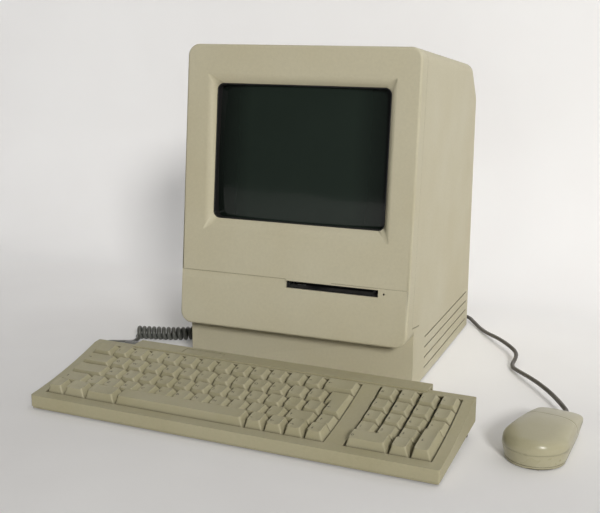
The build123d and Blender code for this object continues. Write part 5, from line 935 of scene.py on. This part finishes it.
@dataclass
class Keyboard:
    """The keyboard's cases, key tops and printed marks."""

    pitch: float = 0.01905
    well_left: float = 0.00975
    lip_depth: float = 0.0114
    plane_front: float = 0.0139
    plane_rise: float = 0.020
    row_count: int = 5
    pad_start: float = 15 + 0.01834 / 0.01905   # of the number pad, in key units
    mark_size: float = 0.0036
    mark_left: float = 0.0046                   # from a cap's left side to its mark
    mark_drop: float = 0.0030                   # and from its middle down to the mark's foot
    mark_lift: float = 0.05 * MM

    def build(self) -> None:
        """Build and dress every piece of the keyboard."""
        self.cases()
        self.key_tops()
        self.marks()
        log.info("keyboard built")

    def key_plane(self) -> Matrix:
        """Matrix from the key plane, across and up the rows, to the set's frame."""
        slope = math.asin(self.plane_rise / (self.row_count * self.pitch))
        stand = Matrix.Translation((self.well_left, self.lip_depth, self.plane_front))
        return KEYBOARD.matrix() @ stand @ Matrix.Rotation(slope, 4, "X")

    def cases(self) -> None:
        """Upper and lower case, feet, sockets, key plate and switches."""
        for node, name, finish, slot in (
            ("keyboard_top_case", "keyboard_upper_shell", Finish.keyboard, "keyboard_case"),
            ("keyboard_bottom_case", "keyboard_lower_shell", Finish.keyboard, "keyboard_case"),
            ("keyboard_foot_left", "fold_foot_left", Finish.black, "keyboard_case"),
            ("keyboard_foot_right", "fold_foot_right", Finish.black, "keyboard_case"),
            ("keyboard_sockets", "end_sockets", Finish.black, "socket_plastic"),
            ("key_backplate", "key_plate", Finish.steel, "steel"),
            ("key_switches", "switch_bodies", Finish.switch, "switch_plastic"),
        ):
            dress(smooth_copy(node, name), finish)
            log.info("%s dressed", name)

    def key_nodes(self) -> list[str]:
        """Names of the solids that are key tops."""
        return sorted(node for node in frame["nodes"]
                      if node.startswith(("key_", "keys_", "space_bar", "power_key"))
                      and node not in ("key_backplate", "key_switches"))

    def key_tops(self) -> None:
        """Key tops with their rims rounded."""
        for node in self.key_nodes():
            cap = smooth_copy(node, "cap_" + node, degrees=24.0)
            rim = cap.modifiers.new("rim", "BEVEL")
            rim.limit_method = "ANGLE"
            rim.angle_limit = math.radians(24.0)
            rim.width = 0.0006
            rim.segments = 3
            rim.use_clamp_overlap = True
            cap.modifiers.move(1, 0)
            dress(cap, Finish.keys)
        log.info("%d key nodes dressed", len(self.key_nodes()))

    def mark_table(self) -> dict[str, list[KeyMark]]:
        """The marks of each key node, row by row."""
        pad = self.pad_start
        return {
            "keys_number_row": [KeyMark("`", 0, 4)]
            + [KeyMark(sign, 1.25 + place, 4) for place, sign in enumerate("1234567890-=")],
            "keys_upper_row": [KeyMark(sign, 1.75 + place, 3) for place, sign in enumerate("QWERTYUIOP[]")],
            "keys_home_row": [KeyMark(sign, 2 + place, 2) for place, sign in enumerate("ASDFGHJKL;'\\")],
            "keys_lower_row": [KeyMark(sign, 1.5 + place, 1) for place, sign in enumerate("<ZXCVBNM,./")],
            "keys_cursor": [KeyMark("~", 11, 0), KeyMark("left", 12, 0), KeyMark("right", 13, 0),
                            KeyMark("down", 14, 0), KeyMark("up", 14, 1)],
            "key_delete": [KeyMark("left", 13.25, 4)],
            "key_tab": [KeyMark("right", 0, 3)],
            "key_return": [KeyMark("left", 14, 2)],
            "key_shift_left": [KeyMark("up", 0, 1)],
            "key_shift_right": [KeyMark("up", 12.5, 1)],
            "key_keypad_enter": [KeyMark("down", pad + 3, 0, rows=2)],
            "keys_keypad": [KeyMark(sign, pad + place, row)
                            for row, signs in ((4, "#=/*"), (3, "789-"), (2, "456+"), (1, "123"))
                            for place, sign in enumerate(signs)]
            + [KeyMark("0", pad, 0), KeyMark(".", pad + 2, 0)],
        }

    def glyph(self, sign: str) -> tuple[np.ndarray, list]:
        """Flat shape of a sign, its lower left corner at zero and its height that of a mark.

        Args:
            sign: a character, or the name of an arrow.

        Returns:
            Points on a plane and faces.
        """
        size = self.mark_size
        turns = {"right": 0, "up": 1, "left": 2, "down": 3}
        if sign in turns:
            tail, neck, shaft, barb = -0.5, 0.1, 0.06, 0.28
            shape = np.array([(tail, -shaft), (neck, -shaft), (neck, -barb), (0.5, 0.0), (neck, barb),
                              (neck, shaft), (tail, shaft)])
            angle = turns[sign] * math.pi / 2
            cosine, sine = math.cos(angle), math.sin(angle)
            turned = shape @ np.array([(cosine, sine), (-sine, cosine)])
            return (turned + 0.5) * size, [(0, 1, 5, 6), (2, 3, 4), (1, 2, 4, 5)]
        curve = bpy.data.curves.new("sign", "FONT")
        curve.body = sign
        curve.size = 1.25 * size
        curve.resolution_u = 3
        text = bpy.data.objects.new("sign", curve)
        bpy.context.scene.collection.objects.link(text)
        bpy.context.view_layer.update()
        mesh = bpy.data.meshes.new_from_object(text.evaluated_get(bpy.context.evaluated_depsgraph_get()))
        points = np.zeros(3 * len(mesh.vertices))
        mesh.vertices.foreach_get("co", points)
        faces = [tuple(polygon.vertices) for polygon in mesh.polygons]
        bpy.data.objects.remove(text)
        bpy.data.curves.remove(curve)
        bpy.data.meshes.remove(mesh)
        return points.reshape(-1, 3)[:, :2], faces

    def marks(self) -> None:
        """Print the marks: each point is dropped along the key plane's normal onto its key's top."""
        plane = self.key_plane()
        normal = (plane.to_3x3() @ Vector((0, 0, 1))).normalized()
        drop = 0.03
        for node, rows in self.mark_table().items():
            tree = surface_tree(node)
            points, faces = [], []
            for mark in rows:
                flat, shape = self.glyph(mark.sign)
                corner_x = mark.left * self.pitch + self.mark_left
                corner_y = (mark.row + mark.rows / 2) * self.pitch - self.mark_drop
                start = len(points)
                for across, up in flat:
                    above = plane @ Vector((corner_x + across, corner_y + up, drop))
                    hit = tree.ray_cast(above, -normal)[0]
                    points.append((hit if hit else above - drop * normal) + self.mark_lift * normal)
                faces += [tuple(start + number for number in face) for face in shape]
            printed = add_mesh("marks_" + node, np.array(points), faces, outward=False)
            dress(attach(printed, body_of(node)), Finish.ink)
        log.info("keys marked")


# ------------------------------------------------------------------------------------------ mouse


@dataclass
class Mouse:
    """The one-button mouse: a domed shell and button over a tray, with its ball below."""

    length: float = 0.104
    width: float = 0.0568
    nose_width: float = 0.044
    nose_corner: float = 0.012
    split: float = 0.0139
    seam: float = 0.013
    gap: float = 0.00035
    wall: float = 0.0018
    crown: tuple[tuple[float, float], ...] = (
        (-1.0, 0.0246), (-0.8, 0.0264), (-0.35, 0.0284), (0.1, 0.0276), (0.6, 0.0233), (1.0, 0.0173)
    )
    roundness: float = 3.0                      # power of the cross-section's superellipse
    edge_run: float = 0.0080                    # length over which the ends of the top round off
    button_rise: float = 0.042                  # slope of the button's lower rim, room for its dip

    def build(self) -> None:
        """Build and dress every piece of the mouse."""
        end = self.length / 2
        shell = self.dome("mouse_dome", -end, self.seam - self.gap / 2)
        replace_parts(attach(shell, "desk_set"), "mouse_shell")
        button = self.dome("mouse_press", self.seam + self.gap / 2, end)
        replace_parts(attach(button, "mouse_button"), "mouse_button")
        for piece in (shell, button):
            dress(piece, Finish.mouse)
        for node, name, finish, slot in (
            ("mouse_base", "mouse_tray", Finish.mouse, "mouse_plastic"),
            ("mouse_ball_ring", "ball_ring", Finish.mouse, "mouse_plastic"),
            ("mouse_ball", "steel_ball", Finish.ball, "ball_rubber"),
            ("mouse_strain_relief", "mouse_bend_relief", Finish.lead, "mouse_lead_rubber"),
        ):
            dress(smooth_copy(node, name), finish)
        log.info("mouse built")

    def half_width(self, along: np.ndarray) -> np.ndarray:
        """Half the plan's width at a place along the mouse.

        The palm end is a circle, the sides taper in straight lines, and the nose's corners are arcs.
        """
        palm = self.width / 2
        end = self.length / 2
        palm_middle = palm - end
        nose_middle = end - self.nose_corner
        inner_palm, inner_nose = palm - self.nose_corner, self.nose_width / 2 - self.nose_corner
        taper = (inner_nose - inner_palm) / (nose_middle - palm_middle)
        sides = inner_palm + taper * (along - palm_middle) + self.nose_corner * math.hypot(1, taper)
        round_palm = np.sqrt(np.clip(palm**2 - (along - palm_middle) ** 2, 0, None))
        round_nose = inner_nose + np.sqrt(np.clip(self.nose_corner**2 - (along - nose_middle) ** 2, 0, None))
        return np.where(along < palm_middle, round_palm, np.where(along > nose_middle, round_nose, sides))

    def rim_height(self, along: np.ndarray) -> np.ndarray:
        """Height of the lower rim: level with the split, then rising under the button towards the nose."""
        return self.split + self.button_rise * np.clip(along - self.seam, 0, None)

    def top_height(self, along: np.ndarray) -> np.ndarray:
        """Height of the top along the middle: a quartic through the crown, rounded off at both ends."""
        end = self.length / 2
        share, height = np.array(self.crown).T
        crown = np.polynomial.Polynomial.fit(share * end, height, 4)(along)
        reach = np.clip((end - np.abs(along)) / self.edge_run, 0, 1)
        rim = self.rim_height(along)
        return rim + (crown - rim) * (1 - (1 - reach) ** 2.6) ** (1 / 2.6)

    def dome(self, name: str, start: float, stop: float) -> bpy.types.Object:
        """Part of the domed top between two places along the mouse.

        The cross-section at each place is the upper half of a superellipse as wide as the plan and as high
        as the top above the rim. The rows crowd towards the two ends of the mouse, where the top turns
        down.
        """
        end = self.length / 2
        rows, columns = 48, 57
        low, high = (math.asin(np.clip(value / end, -1, 1)) for value in (start, stop))
        along = end * np.sin(np.linspace(low, high, rows))
        angle = np.linspace(math.pi, 0, columns)
        half, rim, top = self.half_width(along), self.rim_height(along), self.top_height(along)
        if start <= -end:
            half[0], top[0] = 0.0, self.split
        across, up = np.cos(angle), np.sin(angle)
        section_x = np.sign(across) * np.abs(across) ** (2 / self.roundness)
        section_z = up ** (2 / self.roundness)
        points = np.zeros((rows, columns, 3))
        points[:, :, 0] = half[:, None] * section_x[None]
        points[:, :, 1] = along[:, None]
        points[:, :, 2] = rim[:, None] + (top - rim)[:, None] * section_z[None]
        faces = grid_faces(rows, columns)
        piece = add_mesh(name, place_points(points, MOUSE.matrix()), faces)
        thick = piece.modifiers.new("wall", "SOLIDIFY")
        thick.thickness = self.wall
        thick.offset = -1.0
        return piece


# ------------------------------------------------------------------------------------------ leads


def desk(*points: tuple[float, float, float]) -> list[Vector]:
    """Points given from the middle of the case, in the set's frame."""
    return [COMPUTER.point(*point) for point in points]


@dataclass
class Leads:
    """The keyboard's curly lead, the mouse's lead and the plugs on them."""

    jacket: float = 0.0048
    mouse_jacket: float = 0.0044
    curl_diameter: float = 0.0155
    turn_pitch: float = 0.0056
    points_per_turn: int = 14
    plug_reach: float = 0.0245
    keyboard_socket: tuple[float, float, float] = (0.045, 0.1207, 0.0302)
    bus_sockets: tuple[float, float] = (-0.086, -0.057)
    bus_height: float = 0.0191
    bus_face: float = 0.268

    def build(self) -> None:
        """Build the plugs and both leads."""
        plugs = self.plugs()
        self.keyboard_lead(plugs)
        self.mouse_lead(plugs)
        log.info("leads built")

    def plugs(self) -> dict[str, bpy.types.Object]:
        """The three moulded plugs: a grip with ribs, a shoulder and a tapered neck."""
        profile = [(-0.0065, 0.0), (-0.0065, 0.0037), (-0.0060, 0.0040), (0.0003, 0.0040), (0.0003, 0.0056),
                   (0.0009, 0.0062), (0.0040, 0.0064), (0.0046, 0.0059), (0.0058, 0.0059), (0.0064, 0.0064),
                   (0.0072, 0.0064), (0.0078, 0.0059), (0.0090, 0.0059), (0.0096, 0.0064), (0.0148, 0.0063),
                   (0.0160, 0.0057), (0.0166, 0.0040), (0.0172, 0.0036), (0.0245, 0.0029), (0.0245, 0.0)]
        first, second = (COMPUTER.point(across, self.bus_face, self.bus_height)
                         for across in self.bus_sockets)
        rearward = Vector((0, 1, 0))
        leftward = KEYBOARD.matrix().to_3x3() @ Vector((-1, 0, 0))
        seats = {
            "keyboard_plug": (KEYBOARD.point(*self.keyboard_socket), leftward),
            "computer_plug": (first, rearward),
            "mouse_plug": (second, rearward),
        }
        made = {}
        for node, (start, along) in seats.items():
            plug = revolved("moulded_" + node, profile, start, along, 40)
            sharpen(plug, 40.0)
            made[node] = dress(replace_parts(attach(plug, "desk_set"), node), Finish.plug)
        return made

    def spline(self, name: str, points: list[Vector], diameter: float, resolution: int) -> bpy.types.Object:
        """A lead as a NURBS curve with a round section.

        Args:
            name: the piece's name.
            points: its control points.
            diameter: of the lead; zero gives the bare centreline.
            resolution: steps between control points.

        Returns:
            The curve object.
        """
        curve = bpy.data.curves.new(name, "CURVE")
        curve.dimensions = "3D"
        line = curve.splines.new("NURBS")
        line.points.add(len(points) - 1)
        line.points.foreach_set("co", np.array([(*point, 1.0) for point in points]).ravel())
        line.order_u = 3
        line.use_endpoint_u = True
        curve.resolution_u = resolution
        curve.bevel_depth = diameter / 2
        curve.bevel_resolution = 3
        curve.use_fill_caps = True
        lead = bpy.data.objects.new(name, curve)
        bpy.context.scene.collection.objects.link(lead)
        return lead

    def follow(self, points: list[Vector]) -> np.ndarray:
        """Closely spaced points of the smooth line that a route makes."""
        route = self.spline("route", points, 0.0, 24)
        bpy.context.view_layer.update()
        mesh = bpy.data.meshes.new_from_object(route.evaluated_get(bpy.context.evaluated_depsgraph_get()))
        line = np.zeros(3 * len(mesh.vertices))
        mesh.vertices.foreach_get("co", line)
        bpy.data.meshes.remove(mesh)
        bpy.data.objects.remove(route)
        return line.reshape(-1, 3)

    def helix(self, points: list[Vector]) -> list[Vector]:
        """Control points of the curl's turns.

        The middle of the helix walks along the route at an even pace. At each step a point is set off from
        it by the helix's radius, turning in the plane across the route; the radius allows for a control
        polygon's corners standing outside the curve that they make.
        """
        line = self.follow(points)
        steps = np.linalg.norm(np.diff(line, axis=0), axis=1)
        run = np.concatenate([[0.0], np.cumsum(steps)])
        turns = int(run[-1] / self.turn_pitch)
        count = turns * self.points_per_turn
        step_angle = 2 * math.pi / self.points_per_turn
        radius = (self.curl_diameter - self.jacket) / 2 / (0.75 + 0.25 * math.cos(step_angle)) - 0.0001
        made = []
        for number in range(count + 1):
            distance = run[-1] * number / count
            middle = Vector([np.interp(distance, run, line[:, axis]) for axis in range(3)])
            ahead = Vector([np.interp(distance + 0.0005, run, line[:, axis]) for axis in range(3)])
            back = Vector([np.interp(distance - 0.0005, run, line[:, axis]) for axis in range(3)])
            forward = (ahead - back).normalized()
            side = forward.cross(Vector((0, 0, 1))).normalized()
            up = side.cross(forward)
            angle = -math.pi / 2 + number * step_angle
            made.append(middle + radius * (math.cos(angle) * -side + math.sin(angle) * up))
        log.info("curl has %d turns", turns)
        return made

    def keyboard_lead(self, plugs: dict[str, bpy.types.Object]) -> None:
        """From the keyboard down to the desk, the curl, and on to the computer's socket."""
        x, y, z = self.keyboard_socket
        start = Vector((x - self.plug_reach, y, z))
        near = [KEYBOARD.point(*(start + Vector(shift))) for shift in (
            (0.0, 0.0, 0.0),
            (-0.0094, 0.0, 0.0),
            (-0.0178, 0.0046, -0.0014),
            (-0.0230, 0.0134, -0.0042),
            (-0.0235, 0.0300, -0.0095),
            (-0.0260, 0.0570, -0.0180),
            (-0.0345, 0.0810, -0.0255),
        )]
        near += desk((-0.2154, 0.0681, 0.0026))
        curl = desk(
            (-0.2195, 0.0725, 0.00775),
            (-0.1940, 0.0786, 0.00775),
            (-0.1680, 0.0863, 0.00775),
            (-0.1481, 0.1030, 0.00775),
            (-0.1367, 0.1264, 0.00775),
            (-0.1336, 0.1562, 0.00775),
            (-0.1350, 0.1960, 0.00775),
            (-0.1385, 0.2320, 0.00775),
            (-0.1385, 0.2620, 0.00775),
        )
        far = desk(
            (-0.1385, 0.2800, 0.00775),
            (-0.1345, 0.3000, 0.0060),
            (-0.1225, 0.3165, 0.0065),
            (-0.1070, 0.3215, 0.0100),
            (-0.0935, 0.3165, 0.0150),
            (self.bus_sockets[0], 0.3045, self.bus_height),
            (self.bus_sockets[0], self.bus_face + self.plug_reach, self.bus_height),
        )
        lead = self.spline("curly_lead", near + self.helix(curl) + far, self.jacket, 3)
        dress(lead, Finish.curl)
        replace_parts(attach(lead, "desk_set"), "keyboard_lead", "keyboard_curl", "keyboard_far_lead")
        log.info("curly lead laid")

    def mouse_lead(self, plugs: dict[str, bpy.types.Object]) -> None:
        """From the mouse in loose bends over the desk to the computer's second socket."""
        points = [MOUSE.point(0.0, 0.0660, 0.008), MOUSE.point(0.0, 0.0710, 0.008)]
        points += desk(
            (0.2694, 0.0240, 0.0090),
            (0.2596, 0.0415, 0.0100),
            (0.2486, 0.0590, 0.0105),
            (0.2320, 0.0830, 0.0100),
            (0.2120, 0.1130, 0.0060),
            (0.2000, 0.1360, 0.0023),
            (0.2025, 0.1520, 0.0070),
            (0.2000, 0.1650, 0.0090),
            (0.1893, 0.1800, 0.0105),
            (0.1726, 0.2055, 0.0090),
            (0.1550, 0.2310, 0.0050),
            (0.1410, 0.2560, 0.0023),
            (0.1315, 0.2700, 0.0040),
            (0.1200, 0.2840, 0.0070),
            (0.0980, 0.2970, 0.0045),
            (0.0640, 0.3080, 0.0023),
            (0.0280, 0.3210, 0.0023),
            (-0.0060, 0.3270, 0.0045),
            (-0.0320, 0.3250, 0.0100),
            (-0.0490, 0.3155, 0.0160),
            (self.bus_sockets[1], 0.3035, self.bus_height),
            (self.bus_sockets[1], self.bus_face + self.plug_reach, self.bus_height),
        )
        lead = self.spline("mouse_cord", points, self.mouse_jacket, 12)
        dress(lead, Finish.lead)
        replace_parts(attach(lead, "desk_set"), "mouse_lead")
        log.info("mouse lead laid")


# ------------------------------------------------------------------------------------------ studio


@dataclass
class Studio:
    """Floor and backdrop in one sweep, soft lamps, world and camera."""

    lens: float = 60.25
    yaw: float = 22.01
    pitch: float = -13.51
    roll: float = -0.13
    eye: tuple[float, float, float] = (0.323565, -0.945743, 0.3649)
    wall_distance: float = 0.50
    sweep_radius: float = 0.20
    wall_height: float = 1.6
    half_span: float = 2.6
    front_reach: float = 2.4
    distance_tone: float = 0.72

    def build(self) -> None:
        """Build the sweep, lamps, world and camera."""
        self.sweep()
        self.lamps()
        self.world()
        self.camera()
        bpy.context.scene.view_settings.view_transform = "Standard"
        log.info("studio built")

    def sweep(self) -> None:
        """Floor that turns up into a wall: a flat run, a quarter circle and a straight rise, carried across.

        Its painted glow, stronger towards the back, is for the eye alone: it gives the set no light. It is
        clear from its rear side, so the set is seen from behind as well.
        """
        turn = np.linspace(0, math.pi / 2, 24)
        bend_y = self.wall_distance - self.sweep_radius + self.sweep_radius * np.sin(turn)
        bend_z = self.sweep_radius * (1 - np.cos(turn))
        profile_y = np.concatenate([[-self.front_reach], bend_y, [self.wall_distance]])
        profile_z = np.concatenate([[0.0], bend_z, [self.wall_height]])
        across = np.array([-self.half_span, self.half_span])
        points = np.zeros((len(profile_y), 2, 3))
        points[:, :, 0] = across[None]
        points[:, :, 1] = profile_y[:, None]
        points[:, :, 2] = profile_z[:, None]
        floor = add_mesh("studio_sweep", points, grid_faces(len(profile_y), 2), outward=False)
        material, net, shader = start_material("studio_paper")
        tint = net.remap(net.noise(net.place(), 3.0, 3.0, 0.6), 0.3, 0.7)
        net.put(shader.inputs["Base Color"], net.blend(tint, (0.86, 0.855, 0.85), (0.80, 0.79, 0.785)))
        net.put(shader.inputs["Roughness"], 0.85)
        net.put(shader.inputs["Specular IOR Level"], 0.1)
        split = net.add("ShaderNodeSeparateXYZ")
        net.put(split.inputs[0], net.place())
        net.put(shader.inputs["Emission Color"], (1.0, 0.995, 0.99))
        rays = net.add("ShaderNodeLightPath")
        seen = net.math("ADD", rays.outputs["Is Camera Ray"], rays.outputs["Is Glossy Ray"])
        seen = net.math("ADD", seen, rays.outputs["Is Transmission Ray"], clamp=True)
        # painted glow on the paper, stronger towards the back, seen only by camera, glossy and transmission
        # rays
        glow = net.remap(split.outputs["Y"], -0.25, 0.35, 0.03, 0.19)
        net.put(shader.inputs["Emission Strength"], net.math("MULTIPLY", seen, glow))
        clear = net.add("ShaderNodeBsdfTransparent")
        one_way = net.add("ShaderNodeMixShader")
        net.put(one_way.inputs[0], net.add("ShaderNodeNewGeometry").outputs["Backfacing"])
        net.put(one_way.inputs[1], shader.outputs[0])
        net.put(one_way.inputs[2], clear.outputs[0])
        net.put(material.node_tree.nodes["Material Output"].inputs[0], one_way.outputs[0])
        dress(floor, material)

    def lamp(self, name: str, place: tuple[float, float, float], target: tuple[float, float, float],
             size: tuple[float, float], power: float, colour: Colour) -> None:
        """Add a rectangular lamp at a place, turned to a target."""
        data = bpy.data.lights.new(name, "AREA")
        data.shape = "RECTANGLE"
        data.size, data.size_y = size
        data.energy = power
        data.color = colour
        lamp = bpy.data.objects.new(name, data)
        bpy.context.scene.collection.objects.link(lamp)
        away = Vector(target) - Vector(place)
        lamp.matrix_world = Matrix.Translation(place) @ away.to_track_quat("-Z", "Y").to_matrix().to_4x4()

    def lamps(self) -> None:
        """A key lamp on the right in front, a broad soft one on the right and a wash for the wall."""
        self.lamp("key_front", (2.55, -3.75, 2.0), (0.0, 0.0, 0.15), (0.8, 0.8), 155.0, (1.0, 0.985, 0.96))
        self.lamp("window_right", (1.70, 0.05, 1.00), (0.0, 0.0, 0.12), (1.5, 1.3), 2.0, (1.0, 0.985, 0.96))
        self.lamp("wall_wash", (0.5, -0.1, 1.9), (0.0, 0.56, 0.8), (1.4, 0.5), 5.0, (1.0, 0.99, 0.98))

    def world(self) -> None:
        """Room light that is brighter to the right, with a pale tone for the eye past the paper's edge."""
        world = bpy.data.worlds.new("room")
        world.use_nodes = True
        bpy.context.scene.world = world
        net = Net(world.node_tree)
        ground = world.node_tree.nodes["Background"]
        split = net.add("ShaderNodeSeparateXYZ")
        net.put(split.inputs[0], net.add("ShaderNodeTexCoord").outputs["Generated"])
        rise = net.remap(split.outputs["Z"], -0.3, 0.9, 0.15, 0.09)
        side = net.remap(split.outputs["X"], -0.9, 0.9, 0.45, 1.55)
        net.put(ground.inputs["Color"], (1.0, 0.995, 0.985))
        seen = net.add("ShaderNodeLightPath").outputs["Is Camera Ray"]
        room = net.math("MULTIPLY", net.math("SUBTRACT", 1.0, seen), net.math("MULTIPLY", rise, side))
        far = net.math("MULTIPLY", seen, self.distance_tone)
        net.put(ground.inputs["Strength"], net.math("ADD", room, far))

    def camera(self) -> None:
        """Camera at the eye, turned by yaw, pitch and roll."""
        data = bpy.data.cameras.new("camera")
        data.lens = self.lens
        data.sensor_width = 36.0
        data.sensor_fit = "HORIZONTAL"
        data.clip_start = 0.01
        camera = bpy.data.objects.new("camera", data)
        bpy.context.scene.collection.objects.link(camera)
        yaw, pitch, roll = (Matrix.Rotation(math.radians(angle), 3, axis) for angle, axis in
                            ((self.yaw, "Z"), (self.pitch, "X"), (self.roll, "Y")))
        turn = yaw @ pitch @ roll
        right, forward, up = turn.col
        axes = Matrix((right, up, -forward)).transposed()
        camera.matrix_world = Matrix.Translation(self.eye) @ axes.to_4x4()
        bpy.context.scene.camera = camera


# ------------------------------------------------------------------------------------------ main


def main() -> None:
    """Build the studio and every sub-assembly."""
    Studio().build()
    Computer().build()
    Keyboard().build()
    Mouse().build()
    Leads().build()
    bpy.context.view_layer.update()


if __name__ == "__main__":
    main()
